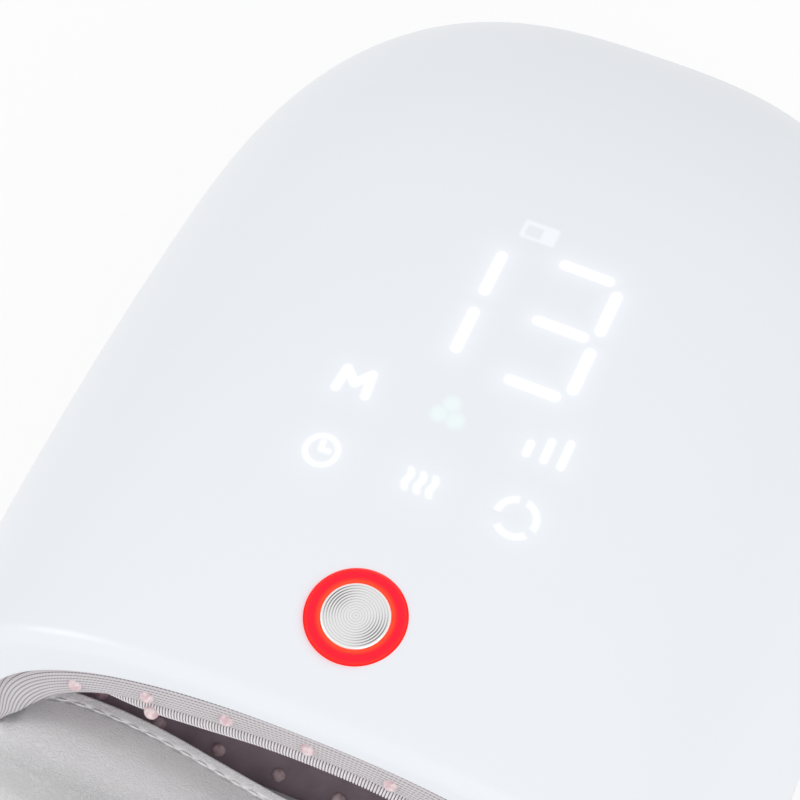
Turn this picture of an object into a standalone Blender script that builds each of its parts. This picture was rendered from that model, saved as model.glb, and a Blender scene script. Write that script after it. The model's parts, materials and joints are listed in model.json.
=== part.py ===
"""Hand massager: a white housing with an arched, padded mouth, a lit power button and a leather palm rest.

Metres, +Z up. The mouth looks along -Y, and the part stands on its four feet at Z = 0.
Everything is modelled about the middle of the housing, and one empty moves the whole to its place.
"""

import math

import bmesh
import bpy
from mathutils import Matrix, Vector

# Housing
body_width = 0.165
body_length = 0.1967
seam_height = 0.0471
mouth_roof_rise = 0.0532
middle_roof_rise = 0.0562
back_roof_rise = 0.0425
closing_length = 0.08475
closing_start = body_length / 2 - closing_length
mouth_taper_share = -0.051
back_taper_share = 0.221
plan_exponent = 2.86
roof_exponent = 2.30
closing_exponent = 2.73
base_exponent = 3.0
base_height = 0.003
base_flattening = 0.004
wall = 0.0025
rim_radius = 0.003
clearance = 0.0003
overrun = 0.002

# Mouth: an arch in a plane that leans back
mouth_face_width = 0.0145
lip_crown_gap = 0.0049
lip_leg_height = 0.0055
lip_setback = 0.00015
lip_half_width = body_width / 2 - mouth_face_width
lip_base = seam_height + lip_leg_height
lip_rise = mouth_roof_rise - lip_crown_gap - lip_leg_height
lip_front = lip_setback - body_length / 2
lip_exponent = 2.29
lip_lean_share = 0.123
lip_flare = 0.004

# Layers of the hand cavity, as distances in from the lip
trim_outer = 0.0003
trim_inner = 0.0065
trim_recess = 0.0010
trim_depth = 0.0028
piping_radius = 0.0019
layer_start = 0.0055
floor_layer_setback = 0.0137
floor_layer_front = lip_front + floor_layer_setback
cavity_back_room = 0.05235
cavity_back = body_length / 2 - cavity_back_room
cavity_squeeze = 0.008
cavity_drop = 0.010
cavity_floor_height = 0.0400
floor_depth = lip_base - cavity_floor_height
lining_outer = 0.0088
lining_inner = 0.0112
roof_airbag_outer = 0.0065
roof_airbag_inner = 0.0085
roof_frame_outer = 0.0046
roof_frame_inner = 0.0062
heating_film_outer = 0.0080
heating_film_inner = 0.0085
floor_airbag_outer = 0.0061
floor_airbag_inner = 0.0077
floor_frame_outer = 0.0042
floor_frame_inner = 0.0058
flange_reach = 0.0070
flange_thickness = 0.0020
end_panel_inset = 0.0094
end_panel_thickness = 0.0020

# Palm rest
rest_side_reach = 0.0025
rest_half_width = lip_half_width + rest_side_reach
rest_reach = 0.0097
rest_edge_setback = 0.0099
rest_edge_y = lip_front + rest_edge_setback
rest_edge_bow = 0.0034
rest_edge_lift = 0.0029
rest_edge_height = seam_height + rest_edge_lift
rest_edge_rise = 0.0040
rest_bow_inset = 0.0255
rest_bow_end_inset = 0.0095
rest_shoulder_inset = 0.0185
rest_shoulder_end_inset = 0.0070
rest_bow_place = rest_half_width - rest_bow_inset
rest_bow_end = rest_half_width - rest_bow_end_inset
rest_shoulder_start = rest_half_width - rest_shoulder_inset
rest_shoulder_end = rest_half_width - rest_shoulder_end_inset
rest_edge_thickness = 0.0022
rest_seam_inset = 0.0024
rest_seam_width = 0.0008
rest_seam_depth = 0.0006
rest_crown = 0.0024
rest_bottom = 0.0135
rest_front_height = 0.0330
rest_front_turn = 0.0100
rest_crown_shares = (0.38, 0.60)
rest_end_exponent = 6
rest_end_power = 0.4
rest_place_shares = (0.0, 0.17, 0.34, 0.50, 0.64, 0.75, 0.84, 0.91, 0.97)
carrier_drop = 0.0036
carrier_top = seam_height - carrier_drop
carrier_thickness = 0.0025
carrier_shelf_inset = 0.0125
carrier_shelf_setback = 0.0127
carrier_shelf_half_width = rest_half_width - carrier_shelf_inset
carrier_shelf_back = lip_front + carrier_shelf_setback

# Power button, its ring and its switch, as heights along the roof's normal
button_setback = 0.0277
button_y = lip_front + button_setback
button_radius = 0.00675
button_proud = 0.0009
button_chamfer = 0.0004
button_thickness = 0.0025
button_stem_radius = 0.0024
button_stem_end = 0.0046
button_travel = 0.0010
ring_outer_radius = 0.01025
ring_proud = 0.0002
ring_flange_radius = 0.0120
ring_flange_thickness = 0.0014
ring_seat_gap = 0.0008
switch_side = 0.0062
switch_top = 0.0062
switch_height = 0.0030
switch_bore_radius = 0.0020
plunger_radius = 0.0017
plunger_length = 0.0020
button_board_side = 0.024
button_board_thickness = 0.0012
button_post_radius = 0.0015
button_post_inset = 0.0020

# Display under the roof
display_board_width = 0.068
display_button_gap = 0.0085
display_back_gap = 0.0220
display_drop = 0.0058
display_board_front = button_y + ring_flange_radius + display_button_gap
display_board_back = cavity_back - display_back_gap
display_board_top = seam_height + mouth_roof_rise - display_drop
display_board_thickness = 0.0015
display_post_radius = 0.0018
display_post_inset = 0.0030
light_box_gap = 0.0004
digit_box_width = 0.046
icon_box_width = 0.052
icon_box_length = 0.0280
light_box_spacing = 0.0030
icon_box_front = display_board_front + light_box_spacing
icon_box_back = icon_box_front + icon_box_length
digit_box_front = icon_box_back + light_box_spacing
light_box_wall = 0.0015
light_box_floor = 0.0012

# Feet and screws
foot_radius = 0.0075
foot_thickness = 0.0027
foot_rounding = 0.0008
foot_x = 0.038
front_foot_share = 0.73334
back_foot_gap = 0.0055
back_foot_y = cavity_back - back_foot_gap
screw_radius = 0.0012
screw_hole_radius = 0.0015
screw_head_radius = 0.0027
screw_head_thickness = 0.0018
screw_recess_radius = 0.0031
screw_recess_top = 0.0070
boss_radius = 0.0034
sleeve_radius = 0.0046
sleeve_top = 0.0117
base_screw_length = 0.0140
frame_boss_embed = 0.0008
frame_screw_front_setback = 0.0282
frame_screw_back_gap = 0.0200
frame_screw_front_y = lip_front + frame_screw_front_setback
frame_screw_back_y = cavity_back - frame_screw_back_gap
frame_screw_length = 0.0130
frame_boss_bore_depth = 0.0120

# Battery and main board on the floor
cell_radius = 0.0092
cell_length = 0.065
cell_pitch = 0.0200
battery_board_gap = 0.0045
tray_thickness = 0.0012
tray_width = 0.044
tray_wall = 0.0012
tray_height = 0.0140
board_width = 0.060
board_length = 0.0370
board_back_gap = 0.0100
board_back = cavity_back - board_back_gap
board_front = board_back - board_length
board_bottom = 0.0120
board_thickness = 0.0016
board_post_radius = 0.0025
board_post_inset = 0.0030
battery_y = board_front - battery_board_gap - tray_width / 2
carrier_back = lip_front - lip_lean_share * lip_leg_height + carrier_thickness
tray_front = battery_y - tray_width / 2
front_foot_y = carrier_back + front_foot_share * (tray_front - carrier_back)
chip_side = 0.010
chip_thickness = 0.0016
chip_x = -0.008
chip_y_inset = 0.0150
chip_y = board_front + chip_y_inset
beeper_radius = 0.0045
beeper_height = 0.0050
beeper_x = 0.004
beeper_y_inset = 0.0250
beeper_y = board_front + beeper_y_inset

# Air pump, lying along X behind the cavity
pump_gap = 0.0150
pump_y = cavity_back + pump_gap
pump_height = 0.0240
motor_radius = 0.012
motor_length = 0.030
motor_front_x = -0.006
motor_bore_radius = 0.0015
motor_bore_depth = 0.0060
shaft_radius = 0.0011
crank_radius = 0.0060
crank_offset = 0.0012
crank_thickness = 0.0030
head_length = 0.0117
head_bore_radius = 0.0085
head_bore_depth = 0.0090
diaphragm_radius = 0.0110
diaphragm_thickness = 0.0012
pump_cover_length = 0.0050
nozzle_radius = 0.0018
nozzle_length = 0.0050
saddle_length = 0.022
saddle_width = 0.014
saddle_bottom = 0.0093
saddle_height = 0.0080
saddle_post_radius = 0.0025
saddle_post_inset = 0.0032

# Release valve beside the pump
valve_x = 0.032
valve_width = 0.016
valve_depth = 0.014
valve_bottom = 0.0220
valve_block_height = 0.0140
valve_coil_radius = 0.0068
valve_coil_length = 0.0120
valve_bore_radius = 0.0026
valve_bore_depth = 0.0060
valve_plunger_radius = 0.0022
valve_travel = 0.0015
valve_head_radius = 0.0042
valve_head_thickness = 0.0010
spring_radius = 0.0033
spring_wire_radius = 0.00035
spring_turns = 4
spring_pitch = 0.00115
valve_post_radius = 0.0040

# Hoses and leads
hose_radius = 0.0022
airbag_hose_radius = 0.0015
lead_radius = 0.0009
ribbon_width = 0.0040
ribbon_thickness = 0.0006
ribbon_x = 0.0156

# Charging port at the back
port_width = 0.0090
port_thickness = 0.0033
port_length = 0.0075
port_rounding = 0.0015
port_height = 0.0300
port_wall = 0.0004
port_recess = 0.0010
port_tongue_width = 0.0066
port_tongue_thickness = 0.0007
port_board_width = 0.018
port_board_length = 0.012
port_board_thickness = 0.0012
port_board_back = 0.0040
port_post_radius = 0.0022

# How finely round things are drawn
shell_steps = 24
layer_steps = 16
round_steps = 20

base_depth = seam_height - base_height + base_flattening

for old in list(bpy.data.objects):
    bpy.data.objects.remove(old)

parts = bpy.data.collections.new("hand_massager")
cutters = bpy.data.collections.new("cutters")
cutters.hide_render = True
bpy.context.scene.collection.children.link(parts)
bpy.context.scene.collection.children.link(cutters)


def empty_at(name, location=(0, 0, 0), rotation=(0, 0, 0), parent=None):
    """A bare marker that carries pieces."""
    marker = bpy.data.objects.new(name, None)
    parts.objects.link(marker)
    marker.parent = parent
    marker.location = location
    marker.rotation_euler = rotation
    return marker


centre = empty_at("body_centre")


def finish(name, colour, roughness, metallic=0.0):
    """A plain Principled material."""
    material = bpy.data.materials.new(name)
    material.use_nodes = True
    shader = material.node_tree.nodes["Principled BSDF"]
    shader.inputs["Base Color"].default_value = (*colour, 1)
    shader.inputs["Roughness"].default_value = roughness
    shader.inputs["Metallic"].default_value = metallic
    return material


white_plastic = finish("white_plastic", (0.86, 0.88, 0.92), 0.25)
grey_plastic = finish("grey_plastic", (0.30, 0.31, 0.33), 0.5)
black_plastic = finish("black_plastic", (0.03, 0.03, 0.03), 0.5)
red_plastic = finish("red_plastic", (1.0, 0.04, 0.06), 0.3)
leather = finish("grey_leather", (0.45, 0.45, 0.46), 0.55)
knit = finish("knit_fabric", (0.62, 0.58, 0.59), 0.9)
airbag_film = finish("airbag_film", (0.75, 0.76, 0.72), 0.4)
rubber = finish("rubber", (0.05, 0.05, 0.05), 0.8)
silicone = finish("silicone", (0.70, 0.72, 0.72), 0.6)
steel = finish("steel", (0.65, 0.65, 0.66), 0.3, 1.0)
copper = finish("copper", (0.72, 0.38, 0.20), 0.4, 1.0)
board_green = finish("board_green", (0.03, 0.20, 0.08), 0.5)
cell_blue = finish("cell_blue", (0.05, 0.20, 0.55), 0.4)


def place(obj, material, parent=None, location=(0, 0, 0), rotation=(0, 0, 0)):
    """Puts a finished piece among the parts."""
    parts.objects.link(obj)
    obj.parent = parent or centre
    obj.location = location
    obj.rotation_euler = rotation
    obj.data.materials.append(material)
    if obj.type == "MESH":
        obj.data.shade_smooth()
        obj.data.set_sharp_from_angle(angle=math.radians(35))
    return obj


def mesh_object(name, shape):
    """An object from a bmesh, which is freed."""
    bmesh.ops.recalc_face_normals(shape, faces=shape.faces)
    mesh = bpy.data.meshes.new(name)
    shape.to_mesh(mesh)
    shape.free()
    return bpy.data.objects.new(name, mesh)


def box_shape(size, middle):
    """A box as a bmesh."""
    shape = bmesh.new()
    bmesh.ops.create_cube(shape, size=1, matrix=Matrix.Translation(middle) @ Matrix.Diagonal((*size, 1)))
    return shape


def span_box(low, high):
    """A box from its lowest to its highest corner."""
    size = [b - a for a, b in zip(low, high)]
    middle = [(a + b) / 2 for a, b in zip(low, high)]
    return box_shape(size, middle)


def rod_shape(radius, start, end, steps=round_steps):
    """A round rod from one point to another."""
    start = Vector(start)
    end = Vector(end)
    turn = (end - start).to_track_quat("Z", "X").to_matrix().to_4x4()
    shape = bmesh.new()
    bmesh.ops.create_cone(
        shape,
        cap_ends=True,
        segments=steps,
        radius1=radius,
        radius2=radius,
        depth=(end - start).length,
        matrix=Matrix.Translation((start + end) / 2) @ turn,
    )
    return shape


def loft(name, rings, closed_ring=True, ends=True):
    """A surface through rings of points that correspond, closed at both ends."""
    shape = bmesh.new()
    rows = [[shape.verts.new(point) for point in ring] for ring in rings]
    count = len(rows[0])
    last = count if closed_ring else count - 1
    for near, far in zip(rows, rows[1:]):
        for i in range(last):
            j = (i + 1) % count
            shape.faces.new((near[i], near[j], far[j], far[i]))
    if ends:
        shape.faces.new(rows[0])
        shape.faces.new(reversed(rows[-1]))
    bmesh.ops.remove_doubles(shape, verts=shape.verts, dist=clearance / 100)
    bmesh.ops.dissolve_degenerate(shape, edges=shape.edges, dist=clearance / 100)
    return shape


def turned(name, profile, material, parent=None, location=(0, 0, 0), rotation=(0, 0, 0), steps=round_steps):
    """A profile of radius and height, which runs down its outer side, turned about Z."""
    closed = profile[0][0] > 0
    shape = bmesh.new()
    points = [shape.verts.new((radius, 0, height)) for radius, height in profile]
    pairs = list(zip(points, points[1:]))
    if closed:
        pairs.append((points[-1], points[0]))
    for a, b in pairs:
        shape.edges.new((a, b))
    mesh = bpy.data.meshes.new(name)
    shape.to_mesh(mesh)
    shape.free()
    obj = place(bpy.data.objects.new(name, mesh), material, parent, location, rotation)
    screw = obj.modifiers.new("turn", "SCREW")
    screw.steps = steps
    screw.render_steps = steps
    screw.use_merge_vertices = True
    screw.merge_threshold = 0.00001
    screw.use_smooth_shade = False
    return obj


def tube(name, points, radius, material, bevel_resolution=1):
    """A round tube through points chosen along its route."""
    curve = bpy.data.curves.new(name, "CURVE")
    curve.dimensions = "3D"
    curve.bevel_depth = radius
    curve.bevel_resolution = bevel_resolution
    curve.use_fill_caps = True
    line = curve.splines.new("POLY")
    line.points.add(len(points) - 1)
    for knot, point in zip(line.points, points):
        knot.co = (*point, 1)
    return place(bpy.data.objects.new(name, curve), material)


def smooth_route(points, per_span=3):
    """Points of a smooth curve through the given ones."""
    points = [Vector(point) for point in points]
    padded = [2 * points[0] - points[1], *points, 2 * points[-1] - points[-2]]
    route = []
    for a, b, c, d in zip(padded, padded[1:], padded[2:], padded[3:]):
        for step in range(per_span):
            t = step / per_span
            bend = (2 * a - 5 * b + 4 * c - d) * t**2
            route.append((2 * b + (c - a) * t + bend + (3 * b - a - 3 * c + d) * t**3) / 2)
    route.append(points[-1])
    straight = 4 * clearance
    first = points[0] + (points[1] - points[0]).normalized() * straight
    final = points[-1] + (points[-2] - points[-1]).normalized() * straight
    ends = (points[0], points[-1])
    middle = [p for p in route if min((p - end).length for end in ends) > straight + clearance]
    return [points[0], first, *middle, final, points[-1]]


def boolean(obj, shapes, operation):
    """Joins shapes to a piece, or cuts them from it."""
    for count, shape in enumerate(shapes):
        name = f"{obj.name}_{operation.lower()}_{count}"
        tool = mesh_object(name, shape)
        cutters.objects.link(tool)
        tool.parent = obj.parent
        tool.hide_render = True
        tool.display_type = "WIRE"
        step = obj.modifiers.new(name, "BOOLEAN")
        step.operation = operation
        step.object = tool
        step.solver = "EXACT"
    return obj


def join(obj, *shapes):
    """Fuses shapes to a piece."""
    return boolean(obj, shapes, "UNION")


def cut(obj, *shapes):
    """Cuts shapes from a piece."""
    return boolean(obj, shapes, "DIFFERENCE")


# The housing's surface


def signed_power(value, power):
    """A power that keeps its sign."""
    return math.copysign(abs(value) ** power, value) if abs(value) > 1e-9 else 0.0


def roof_rise(y):
    """Height of the roof above the seam along the middle, through its mouth, middle and back."""
    s = y / body_length + 0.5
    mouth_part = mouth_roof_rise * (1 - s) * (1 - 2 * s)
    middle_part = 4 * middle_roof_rise * s * (1 - s)
    back_part = back_roof_rise * s * (2 * s - 1)
    return mouth_part + middle_part + back_part


def half_width(y):
    """Half the housing's width before it closes at the back."""
    s = y / body_length + 0.5
    return body_width / 2 * (1 - mouth_taper_share * s - back_taper_share * s**2)


def openness(y, inset):
    """1 along the housing, falling to 0 where the back closes."""
    span = body_length / 2 - inset - closing_start
    t = min(max((y - closing_start) / span, 0), 1)
    return 1 - t**closing_exponent


def front_y(z):
    """The plane of the mouth, which leans back above the seam."""
    return lip_front + lip_lean_share * (max(z, seam_height) - lip_base)


def housing_section(angle, y, inset, upper):
    """Width and height of the surface at one angle round its section."""
    gap = openness(y, inset)
    turn = signed_power(math.cos(angle), 2 / plan_exponent)
    x = (half_width(y) - inset) * gap ** (1 / plan_exponent) * turn
    rise = abs(math.sin(angle))
    rise = 0.0 if rise < 1e-9 else rise
    if upper:
        z = seam_height + (roof_rise(y) - inset) * gap ** (1 / roof_exponent) * rise ** (2 / roof_exponent)
    else:
        z = seam_height - (base_depth - inset) * gap ** (1 / base_exponent) * rise ** (2 / base_exponent)
        z = max(z, base_height + inset)
    return x, z


def housing_point(angle, share, inset, upper, setback=0.0):
    """A point of the surface, at a share of the way from the mouth's plane to the back."""
    end = body_length / 2 - inset
    z = seam_height
    for _ in range(3):
        front = front_y(z) + setback
        y = front + share * (end - front)
        x, z = housing_section(angle, y, inset, upper)
    return Vector((x, y, z))


def housing_ring(share, inset, upper, setback=0.0):
    """One ring of the surface, from the right side over to the left."""
    angles = [math.pi * i / shell_steps for i in range(shell_steps + 1)]
    return [housing_point(angle, share, inset, upper, setback) for angle in angles]


def roof_height(x, y):
    """Height of the outer roof above a place."""
    gap = openness(y, 0) - (abs(x) / half_width(y)) ** plan_exponent
    return seam_height + roof_rise(y) * max(gap, 0) ** (1 / roof_exponent)


def floor_height(x, y):
    """Height of the housing's inner floor below a place."""
    gap = openness(y, wall) - (abs(x) / (half_width(y) - wall)) ** plan_exponent
    deep = seam_height - (base_depth - wall) * max(gap, 0) ** (1 / base_exponent)
    return max(deep, base_height + wall)


def lip_point(angle, inset, setback=0.0):
    """A point of the arch that lies a distance in from the lip, and behind the mouth's plane."""
    x = (lip_half_width - inset) * signed_power(math.cos(angle), 2 / lip_exponent)
    z = lip_base + (lip_rise - inset) * abs(signed_power(math.sin(angle), 2 / lip_exponent))
    return Vector((x, front_y(z) + setback, z))


def leg_point(side, inset, setback, lift=0.0):
    """The foot of one of the arch's legs, which flare out down to the seam."""
    x = side * (lip_half_width + lip_flare - inset)
    return Vector((x, front_y(seam_height) + setback, seam_height + lift))


def lip_ring(setback):
    """The lip itself, from the right leg's foot over the arch to the left one's."""
    arch = [lip_point(math.pi * i / shell_steps, 0, setback) for i in range(1, shell_steps)]
    return [leg_point(1, 0, setback), *arch, leg_point(-1, 0, setback)]


def body_shares(count):
    """Places along the housing, which crowd towards the back."""
    return [math.sin(math.pi / 2 * i / count) for i in range(count + 1)]


def shell_from(name, rings):
    """A shell from rings that run in along its inner face and out along its outer one."""
    shape = loft(name, rings, closed_ring=False, ends=False)
    rim = [edge for edge in shape.edges if edge.is_boundary]
    bmesh.ops.holes_fill(shape, edges=rim, sides=0)
    return shape


def make_top_shell():
    """Upper housing, with its front face round the mouth."""
    shares = body_shares(11)
    inner = [housing_ring(share, wall, True, wall) for share in reversed(shares)]
    rounding = [
        housing_ring(0, rim_radius * (1 - math.sin(turn)), True, rim_radius * (1 - math.cos(turn)))
        for turn in (math.radians(10), math.radians(40), math.radians(70))
    ]
    outer = [housing_ring(share, 0, True, rim_radius) for share in shares]
    rings = [*inner, lip_ring(wall), lip_ring(0), *rounding, *outer]
    shell = place(mesh_object("top_shell", shell_from("top_shell", rings)), white_plastic)
    return shell


def make_bottom_shell():
    """Lower housing, open at the front where the palm rest's carrier closes it."""
    shares = body_shares(11)
    inner = [housing_ring(share, wall, False) for share in reversed(shares)]
    outer = [housing_ring(share, 0, False) for share in shares]
    for ring in (*inner, *outer):
        for point in ring:
            point.z -= clearance
    shape = shell_from("bottom_shell", [*inner, *outer])
    return place(mesh_object("bottom_shell", shape), white_plastic)


# The hand cavity's layers


def layer_point(angle, share, inset, upper):
    """A point of the arch or trough, a distance in from the lip, at a share of the cavity's length."""
    squeeze = cavity_squeeze * share**2
    x = (lip_half_width - inset - squeeze) * signed_power(math.cos(angle), 2 / lip_exponent)
    swing = abs(signed_power(math.sin(angle), 2 / lip_exponent))
    if upper:
        z = lip_base + clearance / 2 + (lip_rise - inset - cavity_drop * share**2) * swing
        front = front_y(z) + layer_start
    else:
        z = lip_base - clearance / 2 - (floor_depth + lining_inner - inset) * swing
        front = floor_layer_front
    return Vector((x, front + share * (cavity_back - front), z))


def layer_rings(outer, inner, upper, flange):
    """Sections of a layer along the cavity, each out along one face and back along the other."""
    rings = []
    for step in range(5):
        share = step / 4
        angles = [math.pi * i / layer_steps for i in range(layer_steps + 1)]
        out = [layer_point(angle, share, outer, upper) for angle in angles]
        back = [layer_point(angle, share, inner, upper) for angle in reversed(angles)]
        if flange:
            up = flange_thickness if upper else -flange_thickness
            aside = Vector((flange_reach, 0, 0))
            lift = Vector((0, 0, up))
            right = [out[0] + aside, out[0] + aside + lift, out[0] + lift]
            left = [out[-1] + lift, out[-1] - aside + lift, out[-1] - aside]
            out = [*right, *out[1:-1], *left]
        rings.append([*out, *back])
    return rings


def make_layer(name, outer, inner, upper, material, flange=False):
    """One layer of the cavity's roof or floor."""
    shape = loft(name, layer_rings(outer, inner, upper, flange))
    return place(mesh_object(name, shape), material)


def frame_screw_place(y, side):
    """Where a screw joins both frames' flanges to the roof."""
    front = floor_layer_front
    share = (y - front) / (cavity_back - front)
    reach = lip_half_width - roof_frame_outer - cavity_squeeze * share**2 + flange_reach / 2
    return Vector((side * reach, y, 0))


def make_end_panel():
    """The plate at the far end of the cavity."""
    angles = [math.pi * i / layer_steps for i in range(layer_steps + 1)]
    outline = [layer_point(angle, 1, end_panel_inset, True) for angle in angles]
    outline += [layer_point(angle, 1, end_panel_inset, False) for angle in reversed(angles)]
    near = [Vector((p.x, cavity_back + clearance, p.z)) for p in outline]
    far = [Vector((p.x, cavity_back + clearance + end_panel_thickness, p.z)) for p in outline]
    return place(mesh_object("cavity_end_panel", loft("cavity_end_panel", [near, far])), grey_plastic)


def band_rings(section):
    """Sections of a band round the mouth, each from its insets and setbacks, from leg to leg."""
    rings = [[leg_point(1, inset, setback, clearance) for inset, setback in section]]
    for i in range(1, shell_steps):
        rings.append([lip_point(math.pi * i / shell_steps, inset, setback) for inset, setback in section])
    rings.append([leg_point(-1, inset, setback, clearance) for inset, setback in section])
    return rings


def make_knit_trim():
    """The knit band round the mouth, a soft edge just inside the lip."""
    middle = (trim_outer + trim_inner) / 2
    edge = trim_recess + trim_depth / 3
    back = trim_recess + trim_depth
    section = [
        (trim_outer, edge),
        (middle, trim_recess),
        (trim_inner, edge),
        (trim_inner, back),
        (trim_outer, back),
    ]
    return place(mesh_object("knit_trim", loft("knit_trim", band_rings(section))), knit)


def make_ribbed_piping():
    """The ribbed roll that edges the knit band."""
    middle = trim_inner + clearance + piping_radius
    setback = trim_recess + clearance + piping_radius
    turns = [2 * math.pi * side / 8 for side in range(8)]
    section = [
        (middle + piping_radius * math.cos(turn), setback + piping_radius * math.sin(turn))
        for turn in turns
    ]
    return place(mesh_object("ribbed_piping", loft("ribbed_piping", band_rings(section))), knit)


# The palm rest


def rest_bow(x):
    """How far along its bow the cushion's rear edge is, 0 in the middle and at its ends and 1 between."""
    x = abs(x)
    if x < rest_bow_place:
        return math.sin(math.pi / 2 * x / rest_bow_place) ** 2
    return math.cos(math.pi / 2 * min((x - rest_bow_place) / (rest_bow_end - rest_bow_place), 1)) ** 2


def rest_shoulder(x):
    """1 across the cushion's top, falling to 0 where its ends pass under the mouth's legs."""
    share = (abs(x) - rest_shoulder_start) / (rest_shoulder_end - rest_shoulder_start)
    return math.cos(math.pi / 2 * min(max(share, 0), 1)) ** 2


def rest_section(x):
    """The cushion's outline across the mouth, from under its rear edge, over the top and down the front."""
    fullness = (1 - (abs(x) / rest_half_width) ** rest_end_exponent) ** rest_end_power
    carrier_front = front_y(seam_height) - clearance
    rear = rest_edge_y + rest_edge_bow * rest_bow(x)
    edge_top = rest_edge_height + rest_edge_rise * rest_bow(x)
    under = carrier_top + clearance
    edge_top = under + rest_edge_thickness + (edge_top - under - rest_edge_thickness) * rest_shoulder(x)
    front = carrier_front - rest_reach * fullness
    crown = edge_top + rest_crown * rest_shoulder(x)
    bottom = under - (under - rest_bottom) * fullness - rest_edge_thickness
    seam = rear - rest_seam_inset
    face = rest_front_height
    turn = rest_front_turn * fullness
    rear_crown, front_crown = (rear + (front - rear) * share for share in rest_crown_shares)
    points = [
        (rear, under),
        (rear, edge_top - rest_seam_depth),
        (rear - rest_seam_width, edge_top),
        (seam + rest_seam_width, edge_top),
        (seam, edge_top - rest_seam_depth),
        (seam - rest_seam_width, edge_top + rest_seam_depth),
        (rear_crown, crown),
        (front_crown, crown - rest_seam_depth),
        (front + turn / 2, crown - turn / 2),
        (front, face + turn / 2),
        (front, face - turn / 2),
        (front + turn / 4, bottom + turn / 2),
        (front + turn / 2, bottom),
        (carrier_front, bottom),
        (carrier_front, face),
        (carrier_front, under),
        ((rear + carrier_front) / 2, under),
    ]
    return [Vector((x, y, z)) for y, z in points]


def make_palm_rest():
    """The leather cushion, a coarse cage rounded by subdivision."""
    places = [-share for share in reversed(rest_place_shares)] + list(rest_place_shares[1:])
    shape = loft("palm_rest", [rest_section(place * rest_half_width) for place in places])
    crease = shape.edges.layers.float.new("crease_edge")
    corner_y = front_y(seam_height) - clearance
    corner_z = carrier_top + clearance
    near = clearance / 2
    for edge in shape.edges:
        on_back = all(abs(v.co.y - corner_y) < near and v.co.z < corner_z + near for v in edge.verts)
        on_shelf = all(abs(v.co.z - corner_z) < near and v.co.y > corner_y - near for v in edge.verts)
        if on_back or on_shelf:
            edge[crease] = 1.0
    cushion = place(mesh_object("palm_rest", shape), leather)
    smooth = cushion.modifiers.new("round", "SUBSURF")
    smooth.levels = 1
    smooth.render_levels = 1
    return cushion


def make_carrier():
    """The plate that closes the front below the mouth, with a shelf under the cushion's rear edge."""
    inset = wall + clearance
    front = front_y(seam_height)
    ring = housing_ring(0, inset, False)
    high = seam_height - 2 * clearance
    notch = rest_half_width + clearance
    below = [Vector((p.x, 0, p.z)) for p in ring if p.z < high - clearance]
    right = [Vector((notch, 0, carrier_top)), Vector((notch, 0, high)), Vector((ring[0].x, 0, high))]
    left = [Vector((-p.x, 0, p.z)) for p in reversed(right)]
    outline = [*right, *below, *left]
    near = [Vector((p.x, front, p.z)) for p in outline]
    far = [Vector((p.x, front + carrier_thickness, p.z)) for p in outline]
    carrier = place(mesh_object("palm_rest_carrier", loft("palm_rest_carrier", [near, far])), white_plastic)
    shelf = span_box(
        (-carrier_shelf_half_width, front + carrier_thickness / 2, carrier_top - carrier_thickness),
        (carrier_shelf_half_width, carrier_shelf_back, carrier_top - clearance / 10),
    )
    return join(carrier, shelf)


# The button


def make_button(top_shell):
    """The power button in its light ring, with the switch that it presses, all along the roof's normal."""
    step = clearance
    slope = math.atan2(roof_height(0, button_y + step) - roof_height(0, button_y - step), 2 * step)
    axis = empty_at("button_axis", (0, button_y, roof_height(0, button_y)), (slope, 0, 0), centre)
    turned(
        "power_button",
        [
            (0, button_proud),
            (button_radius - button_chamfer, button_proud),
            (button_radius, button_proud - button_chamfer),
            (button_radius, button_proud - button_thickness),
            (button_stem_radius, button_proud - button_thickness),
            (button_stem_radius, -button_stem_end),
            (0, -button_stem_end),
        ],
        steel,
        axis,
    )
    ring_inner_radius = button_radius + clearance
    flange_top = -wall - ring_seat_gap
    flange_bottom = flange_top - ring_flange_thickness
    turned(
        "light_ring",
        [
            (ring_inner_radius, ring_proud),
            (ring_outer_radius, ring_proud),
            (ring_outer_radius, flange_top),
            (ring_flange_radius, flange_top),
            (ring_flange_radius, flange_bottom),
            (ring_inner_radius, flange_bottom),
        ],
        red_plastic,
        axis,
        steps=32,
    )
    plunger_top = -button_stem_end - clearance
    turned(
        "switch_plunger",
        [
            (0, plunger_top),
            (plunger_radius, plunger_top),
            (plunger_radius, plunger_top - plunger_length),
            (0, plunger_top - plunger_length),
        ],
        black_plastic,
        axis,
    )
    half = switch_side / 2
    switch_bottom = -switch_top - switch_height
    body = mesh_object("button_switch", span_box((-half, -half, switch_bottom), (half, half, -switch_top)))
    place(body, black_plastic, axis)
    bore_bottom = plunger_top - plunger_length - button_travel - clearance
    cut(body, rod_shape(switch_bore_radius, (0, 0, bore_bottom), (0, 0, -switch_top + overrun)))
    board_half = button_board_side / 2
    board_top = switch_bottom - clearance
    board_low = (-board_half, -board_half, board_top - button_board_thickness)
    board = mesh_object("button_board", span_box(board_low, (board_half, board_half, board_top)))
    place(board, board_green, axis)
    normal = Matrix.Translation(axis.location) @ Matrix.Rotation(slope, 4, "X")
    corner = board_half - button_post_inset
    posts = [
        rod_shape(
            button_post_radius,
            normal @ Vector((side * corner, end * corner, board_top + clearance)),
            normal @ Vector((side * corner, end * corner, -wall / 2)),
            12,
        )
        for side in (-1, 1)
        for end in (-1, 1)
    ]
    join(top_shell, *posts)
    hole_radius = ring_outer_radius + clearance
    hole_low = normal @ Vector((0, 0, -wall - overrun))
    hole_high = normal @ Vector((0, 0, overrun))
    cut(top_shell, rod_shape(hole_radius, hole_low, hole_high, 32))


# The display


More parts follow.
